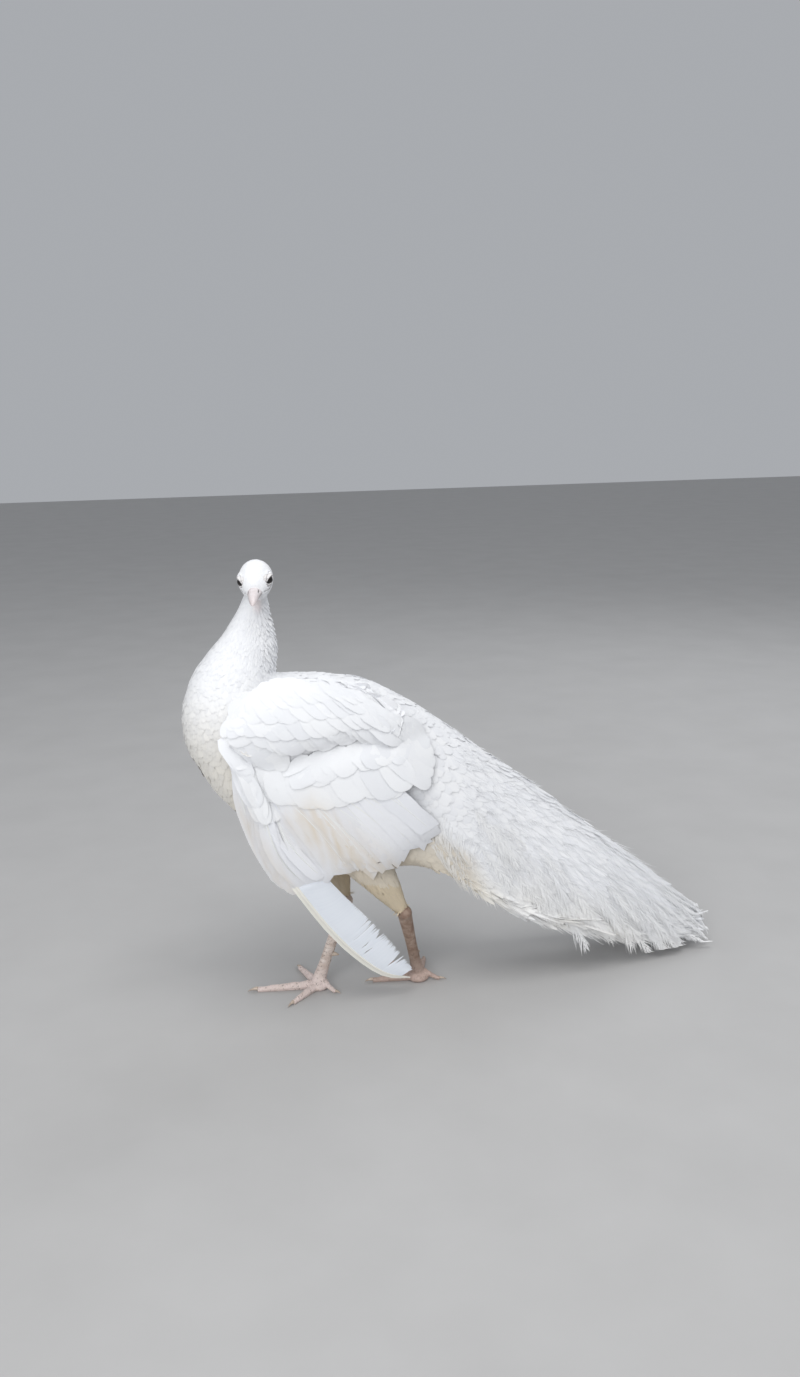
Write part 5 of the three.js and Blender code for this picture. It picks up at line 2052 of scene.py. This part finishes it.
    def barbs(self, side: int, seed: int, n: int, roots: Array, ends: Array, bow: float) -> Vanes:
        """Hangs three layers of curved barbs between two lines on one side of the train.

        Args:
            side: -1 for the bird's left, 1 for its right.
            seed: the random seed.
            n: how many barbs in each layer.
            roots: the line they grow from, X and Z.
            ends: the line they reach.
            bow: how far they curve, as a share of their length.
        """
        rng = np.random.default_rng(seed + side)
        k, layers = 8, 3
        u = np.tile((np.arange(n) + rng.random(n)) / n, layers)
        back = np.repeat(np.arange(layers), n)[:, None]  # each further layer grows higher up
        root = along(roots, u) + back * np.array((9.0, 7.0)) + rng.normal(0, 2.0, (n * layers, 2))
        end = along(ends, u) + back * np.array((7.0, 9.0)) + rng.normal(0, 2.2, (n * layers, 2))
        s = np.linspace(0, 1, k)[None, :, None]
        chord = end - root
        across = np.stack([chord[:, 1], -chord[:, 0]], 1)
        path = root[:, None] + chord[:, None] * s + across[:, None] * (bow * np.sin(np.pi * s))
        flat = self.skin.outermost(path[:, 0, 0], path[:, 0, 1], side)
        flat = np.where(flat == 0.0, side * 48.0, flat)
        y = flat[:, None] + side * (
            4.5 + 1.2 * back + 2.0 * s[0, :, 0] - 3.0 * s[0, :, 0] ** 2
            + rng.normal(0, 0.7, (n * layers, 1))
        )
        line = place(np.stack([path[..., 0], y, path[..., 1]], -1))
        normal = unit(np.broadcast_to(np.array((0.0, side, 0.1)), line.shape).copy())
        shape = np.array([0.7, 1.0, 1.0, 0.95, 0.85, 0.65, 0.4, 0.06])
        half = shape[None] * rng.uniform(0.5, 0.8, (n * layers, 1)) * MM
        return self.held(
            Vanes(
                line, normal, half, self.skin.patch(line[:, 0]), rng.random(n * layers), Thick.LOCK, 0.0, 3
            )
        )


# ---------------------------------------------------------------- head


@dataclass
class Crest:
    """The fan of bare shafts with small brushes at their ends."""

    skin: Skin
    count: int = 24
    root: Triple = (-27.0, 0.0, 13.0)
    fan: Pair = (198.0, 229.0)
    length: float = 44.0

    def build(self) -> Thing:
        """Builds the crest."""
        rng = np.random.default_rng(Seed.CREST)
        n, k = self.count, 10
        f = np.linspace(0, 1, n)
        angle = np.radians(between(self.fan, f) + rng.normal(0, 0.8, n))
        lean = np.where(np.arange(n) % 2, 0.06, -0.06) + rng.normal(0, 0.03, n)
        way = unit(np.stack([np.cos(angle), lean, np.sin(angle)], 1))
        size = self.length + 9 * np.sin(np.pi * f) + rng.normal(0, 1.0, n)
        start = np.array(self.root) + np.stack([2 * np.cos(angle), lean * 12, 3 * (0.5 - f)], 1)
        s = np.linspace(0, 1, k)
        path = start[:, None] + way[:, None] * (s[None] * size[:, None])[..., None]
        path[..., 2] += 1.5 * np.sin(np.pi * s) * (0.5 - f)[:, None]
        line = HEAD.out(path)
        flat = np.broadcast_to(HEAD.axes() @ np.array((0.0, 1.0, 0.0)), line.shape).copy()
        patch = self.skin.patch(line[:, 0])
        shade = rng.random(n)
        shaft = Vanes(
            line, flat, np.tile(np.linspace(0.00035, 0.0002, k), (n, 1)), patch, shade, Thick.PLUME, 0.0, 4
        )
        groups = [shaft]
        # brushes: barbs fanned from the last fifth of each shaft
        for j in range(14):
            at = 0.76 + 0.22 * (j // 2) / 6
            turn = (0.75 - 0.55 * (j // 2) / 6) * (1 if j % 2 else -1)
            barb_way = way * math.cos(turn) + np.cross(way, (0.0, 1.0, 0.0)) * math.sin(turn)
            base = start + way * (at * size)[:, None]
            t = np.linspace(0, 1, 4)
            barb = (
                base[:, None] + barb_way[:, None] * (t * 5.2)[None, :, None]
                + way[:, None] * (t**2 * 1.6)[None, :, None]
            )
            barb_line = HEAD.out(barb)
            half = np.tile(np.array([0.3, 0.42, 0.36, 0.05]) * MM, (n, 1))
            groups.append(Vanes(barb_line, flat[:, :4], half, patch, shade, Thick.BRUSH, 0.0, 4))
        return own(feathers("crest_fan", groups, WHITE), "plumage", "crest")


@dataclass
class Bill:
    """The horn bill: two mandibles with a drooping tip, the nostrils, and the gape between."""

    start: float = 18.5
    length: float = 29.0
    droop: float = 5.5
    gape: float = -11.5
    around: int = 28
    steps: int = 40

    def build(self) -> None:
        """Builds both mandibles."""
        own(self.mandible(True), "bill", "bill_upper")
        own(self.mandible(False), "bill", "bill_lower")

    def nostril(self, x: Array, z: Array) -> tuple[Array, Array]:
        """Returns how far along and above the nostril's slanting line each place lies."""
        return x - 24.5, z - (self.gape + 5.4 - 0.30 * (x - 24.5))

    def mandible(self, upper: bool) -> Thing:
        """Lofts one mandible."""
        length = self.length if upper else self.length - 3.6
        t = np.linspace(0, 1, self.steps) ** 0.85
        taper = np.sqrt(np.maximum(1 - 0.985 * t**1.9, 0.012))
        wide = ((7.2 if upper else 6.2) + 2.0 * (1 - t) ** 3) * taper
        high = (8.7 if upper else 5.3) * taper
        base = self.gape - self.droop * (length * t / 27.0) ** 2.4 * 0.93
        a = np.linspace(0, math.pi, self.around)
        c, s = np.cos(a), np.sin(a)
        shape = np.sign(c) * np.abs(c) ** 0.9
        y = wide[:, None] * shape[None]
        rise = high[:, None] * s[None] ** 0.92
        z = base[:, None] + (rise + 0.15 if upper else -0.35 - rise)
        x = np.repeat((self.start + length * t)[:, None], self.around, 1)
        if upper:
            # the soft flap over each nostril swells, and the slit under it is pressed in
            for side in (1, -1):
                along_x, up = self.nostril(x, z)
                near = y * side > 0
                flap = np.exp(-((along_x / 4.2) ** 2) - ((up - 1.9) / 1.3) ** 2) * near
                slit = np.exp(-((along_x / 3.4) ** 2) - (up / 0.95) ** 2) * near
                y = y + side * (0.7 * flap - 1.7 * slit)
        floor_rows = 5
        v = np.linspace(0, 1, floor_rows + 2)[1:-1]
        low_y = y[:, -1:] * (1 - v) + y[:, :1] * v
        low_z = z[:, -1:] * (1 - v) + z[:, :1] * v
        ring_y, ring_z = np.concatenate([y, low_y], 1), np.concatenate([z, low_z], 1)
        ring_x = np.repeat(x[:, :1], ring_y.shape[1], 1)
        verts = HEAD.out(np.stack([ring_x, ring_y, ring_z], -1).reshape(-1, 3))
        k, m = ring_y.shape
        i, j = np.meshgrid(np.arange(k - 1), np.arange(m), indexing="ij")
        quads = np.stack(
            [i * m + j, (i + 1) * m + j, (i + 1) * m + (j + 1) % m, i * m + (j + 1) % m], -1
        ).reshape(-1, 4)
        caps = [np.arange(m)[None], (np.arange(m)[::-1] + (k - 1) * m)[None]]
        if upper:
            quads, caps = quads[:, ::-1], [c[:, ::-1] for c in caps]
        obj = mesh_object("bill_top" if upper else "bill_under", verts, [quads, *caps], Horn("bill_horn"))
        wear = np.broadcast_to(smooth(0.55, 1.0, t)[:, None] * 0.5, (k, m)).ravel()
        # painted shade along the mandibles' meeting edges and their inner faces near the gape
        lip_shade = (
            np.concatenate([bump(s, 0.14), np.ones(floor_rows)])[None] * smooth(0.8, 0.2, t)[:, None] * 0.55
        )
        if upper:
            # painted shade in the hollows of the nostril slits
            dark = np.zeros((k, m))
            for side in (1, -1):
                along_x, up = self.nostril(ring_x, ring_z)
                dark = np.maximum(
                    dark, np.exp(-((along_x / 3.2) ** 4) - (up / 1.15) ** 4) * (ring_y * side > 0)
                )
            put_value(obj.data, "NostrilGapeShade", np.maximum(dark, lip_shade).ravel())
        else:
            put_value(obj.data, "NostrilGapeShade", lip_shade.ravel())
        put_value(obj.data, "Wear", wear)
        return obj


@dataclass
class Eyes:
    """Two eyes, each a ball with a clear bulge over its iris."""

    rings: int = 48

    def build(self) -> None:
        """Builds both eyes."""
        for name, side in (("left", 1), ("right", -1)):
            deselect()
            bpy.ops.mesh.primitive_uv_sphere_add(
                segments=self.rings, ring_count=self.rings // 2, radius=HEAD.eye
            )
            ball = bpy.context.object
            ball.name = f"eyeball_{name}"
            at = vertices(ball.data)  # its pole is turned outward, and swells into the cornea
            turned = np.stack([at[:, 0], at[:, 2] * side, -at[:, 1] * side], 1)
            gaze = math.radians(HEAD.gaze) * side
            spin = np.array(
                ((math.cos(gaze), math.sin(gaze), 0), (-math.sin(gaze), math.cos(gaze), 0), (0, 0, 1))
            )
            reach = np.degrees(np.arccos(np.clip(turned[:, 1] * side / HEAD.eye, -1, 1)))
            turned = turned @ spin.T
            turned = turned * (1 + 0.05 * smooth(42, 20, reach))[:, None]
            turned = turned * 0.985 + np.array((0, side * HEAD.eye_side, HEAD.eye_up))
            move_vertices(ball.data, HEAD.out(turned))
            put_value(ball.data, "Iris", np.clip(reach / 42, 0, 1))
            finish_faces(ball.data, Eye())
            ball.location = (0, 0, 0)
            own(ball, "eye", f"eye_{name}")


# ---------------------------------------------------------------- legs


@dataclass
class Leg:
    """One scaly leg: hock, tarsus and toes as one skin with raised plates, and its horn claws and spur."""

    name: str
    foot: Pair
    heading: float
    finish: Scales
    voxel: float = 0.0009
    horn_voxel: float = 0.0004

    def build(self) -> None:
        """Builds the leg's pieces."""
        toes = ("middle", "inner", "outer", "hind")
        nodes = (f"shank_{self.name}", *(f"toe_{self.name}_{t}" for t in toes))
        leg = merged_copy(nodes, f"leg_{self.name}", 0.0003)
        apply_modifier(leg, "REMESH", mode="VOXEL", voxel_size=self.voxel)
        keep_largest(leg)
        apply_modifier(leg, "SMOOTH", factor=0.5, iterations=7)
        self.plates(leg)
        finish_faces(leg.data, self.finish)
        own(leg, "scaled_skin", *nodes)
        for t in toes:
            self.horn(f"claw_{self.name}_{t}", "claw")
        self.horn(f"spur_{self.name}", "claw")

    def plates(self, leg: Thing) -> None:
        """Raises the plates in front and on the toes, and knobs elsewhere."""
        at, out = vertices(leg.data), normals(leg.data)
        p = bird(at)
        flat = p[:, :2] - np.array(self.foot)
        reach = np.linalg.norm(flat, axis=1)
        toe = smooth(30, 17, p[:, 2]) * smooth(9, 14, reach)
        ahead = np.radians(self.heading)
        ahead_x, ahead_y = math.cos(ahead), math.sin(ahead)
        front = out[:, 0] * ahead_x + out[:, 1] * ahead_y
        around = np.arctan2(out[:, 1] * ahead_x - out[:, 0] * ahead_y, front)
        run = np.where(toe > 0.5, reach / 3.1, p[:, 2] / 5.2 + 0.5 * (around > 0))
        cell = run % 1.0
        groove = smooth(0.0, 0.16, cell) * smooth(1.0, 0.86, cell)
        show = np.where(
            toe > 0.5, smooth(-0.25, 0.25, out[:, 2]),
            smooth(-0.15, 0.35, front) * smooth(0.0, 0.14, np.abs(around))
        )
        knob = (
            np.sin(p[:, 0] * 1.9 + 1.3 * np.sin(p[:, 2] * 1.1)) * np.sin(p[:, 1] * 2.1 + p[:, 2] * 0.4)
            * np.sin(p[:, 2] * 1.7)
        )
        plate = 0.42 * groove * show * (1.15 - 0.5 * cell)
        move_vertices(leg.data, at + out * ((plate + 0.16 * knob * (1 - show) - 0.15) * MM)[:, None])
        put_value(leg.data, "Scute", np.clip(groove * show + (1 - show) * (0.7 + 0.3 * knob), 0, 1))

    def horn(self, node: str, slot: str) -> None:
        """Rounds one claw or spur off and gives it its horn."""
        piece = merged_copy((node,), f"{node}_horn")
        apply_modifier(piece, "REMESH", mode="VOXEL", voxel_size=self.horn_voxel)
        apply_modifier(piece, "SMOOTH", factor=0.5, iterations=4)
        at = vertices(piece.data)
        p = bird(at)
        reach = np.linalg.norm(p[:, :2] - np.array(self.foot), axis=1)
        span = (reach - reach.min()) / max(np.ptp(reach), 1e-6)
        put_value(piece.data, "Wear", smooth(0.3, 1.0, span) * 0.6)
        finish_faces(piece.data, Horn("claw_horn", (0.60, 0.50, 0.41), (0.30, 0.22, 0.16)))
        own(piece, slot, node)


# ---------------------------------------------------------------- the studio


@dataclass
class Studio:
    """The plain pale floor, the soft lights and the camera."""

    position: Triple = (-0.4762, -1.4815, 0.7660)
    heading: float = -15.0
    pitch: float = 12.7
    roll: float = -1.1
    lens: float = 30.85
    air: tuple[float, float, float, float] = (0.47, 0.487, 0.515, 1)
    glow: float = 0.84

    def build(self) -> None:
        """Sets the studio up."""
        self.camera()
        self.floor()
        self.lights()

    def camera(self) -> None:
        """Makes the scene's camera."""
        data = bpy.data.cameras.new("camera")
        data.lens, data.sensor_width, data.sensor_fit = self.lens, 36.0, "AUTO"
        data.clip_start, data.clip_end = 0.05, 60.0
        cam = bpy.data.objects.new("camera", data)
        bpy.context.scene.collection.objects.link(cam)
        yaw, pitch, roll = (math.radians(a) for a in (self.heading, self.pitch, self.roll))
        flat = Vector((-math.sin(yaw), math.cos(yaw), 0))
        right0 = Vector((math.cos(yaw), math.sin(yaw), 0))
        ahead = flat * math.cos(pitch) + Vector((0, 0, -math.sin(pitch)))
        up0 = right0.cross(ahead)
        right = right0 * math.cos(roll) + up0 * math.sin(roll)
        up = up0 * math.cos(roll) - right0 * math.sin(roll)
        turned = Matrix((right, up, -ahead)).transposed()
        cam.matrix_world = Matrix.Translation(Vector(self.position)) @ turned.to_4x4()
        bpy.context.scene.camera = cam

    def floor(self) -> None:
        """Makes the floor."""
        deselect()
        bpy.ops.mesh.primitive_plane_add(size=24.0)
        floor = bpy.context.object
        floor.name = "floor"
        mode("EDIT")
        bpy.ops.mesh.subdivide(number_cuts=8)
        mode("OBJECT")
        floor.data.materials.append(dressed(Ground()))

    def lights(self) -> None:
        """Makes the sky and the soft lamps."""
        world = bpy.data.worlds.new("studio_air")
        world.use_nodes = True
        back = world.node_tree.nodes["Background"]
        back.inputs["Color"].default_value = self.air
        back.inputs["Strength"].default_value = self.glow
        bpy.context.scene.world = world
        for name, place_m, aim, size, power, colour in (
            ("top", (-0.15, -1.4, 3.8), (0.05, 0, 0.25), 2.6, 66.0, (1.0, 0.99, 0.975)),
            ("front", (-1.9, -3.0, 1.7), (-0.05, 0, 0.3), 1.8, 60.0, (0.98, 0.99, 1.0)),
            ("rim", (1.6, 1.6, 2.2), (0.1, 0, 0.3), 1.6, 16.0, (0.95, 0.97, 1.0)),
        ):
            lamp = bpy.data.lights.new(name, "AREA")
            lamp.size, lamp.energy, lamp.color = size, power, colour
            obj = bpy.data.objects.new(name, lamp)
            obj.location = place_m
            obj.rotation_euler = (Vector(aim) - Vector(place_m)).to_track_quat("-Z", "Y").to_euler()
            bpy.context.scene.collection.objects.link(obj)
        bpy.context.scene.view_settings.view_transform = "Standard"


FRAME: dict[str, dict] = {}


def main() -> None:
    """Builds the bird and its studio."""
    logging.basicConfig(level=logging.INFO, format="%(message)s", force=True)
    FRAME.update(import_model())
    Studio().build()
    skin = Skin()
    skin.build()
    left = Wing(skin, "left", -1, LEFT_COVERTS, LEFT_FLIGHTS, Seed.LEFT_WING).build()
    right = Wing(skin, "right", 1, RIGHT_COVERTS, RIGHT_FLIGHTS, Seed.RIGHT_WING).build()
    Mantle(skin).build()
    LongPrimary(skin).build()
    Coat(skin, (left, right)).build()
    Train(skin).build()
    Crest(skin).build()
    Bill().build()
    Eyes().build()
    Leg(
        "left", (-7.0, -3.0), 117.0,
        Scales("left_leg_scales", (0.46, 0.345, 0.275), (0.27, 0.175, 0.13), (0.58, 0.44, 0.385), 0.7)
    ).build()
    Leg(
        "right", (-147.0, 13.0), 171.0,
        Scales("right_leg_scales", (0.80, 0.70, 0.64), (0.58, 0.46, 0.39), (0.80, 0.67, 0.63), 0.85)
    ).build()


if __name__ == "__main__":
    main()
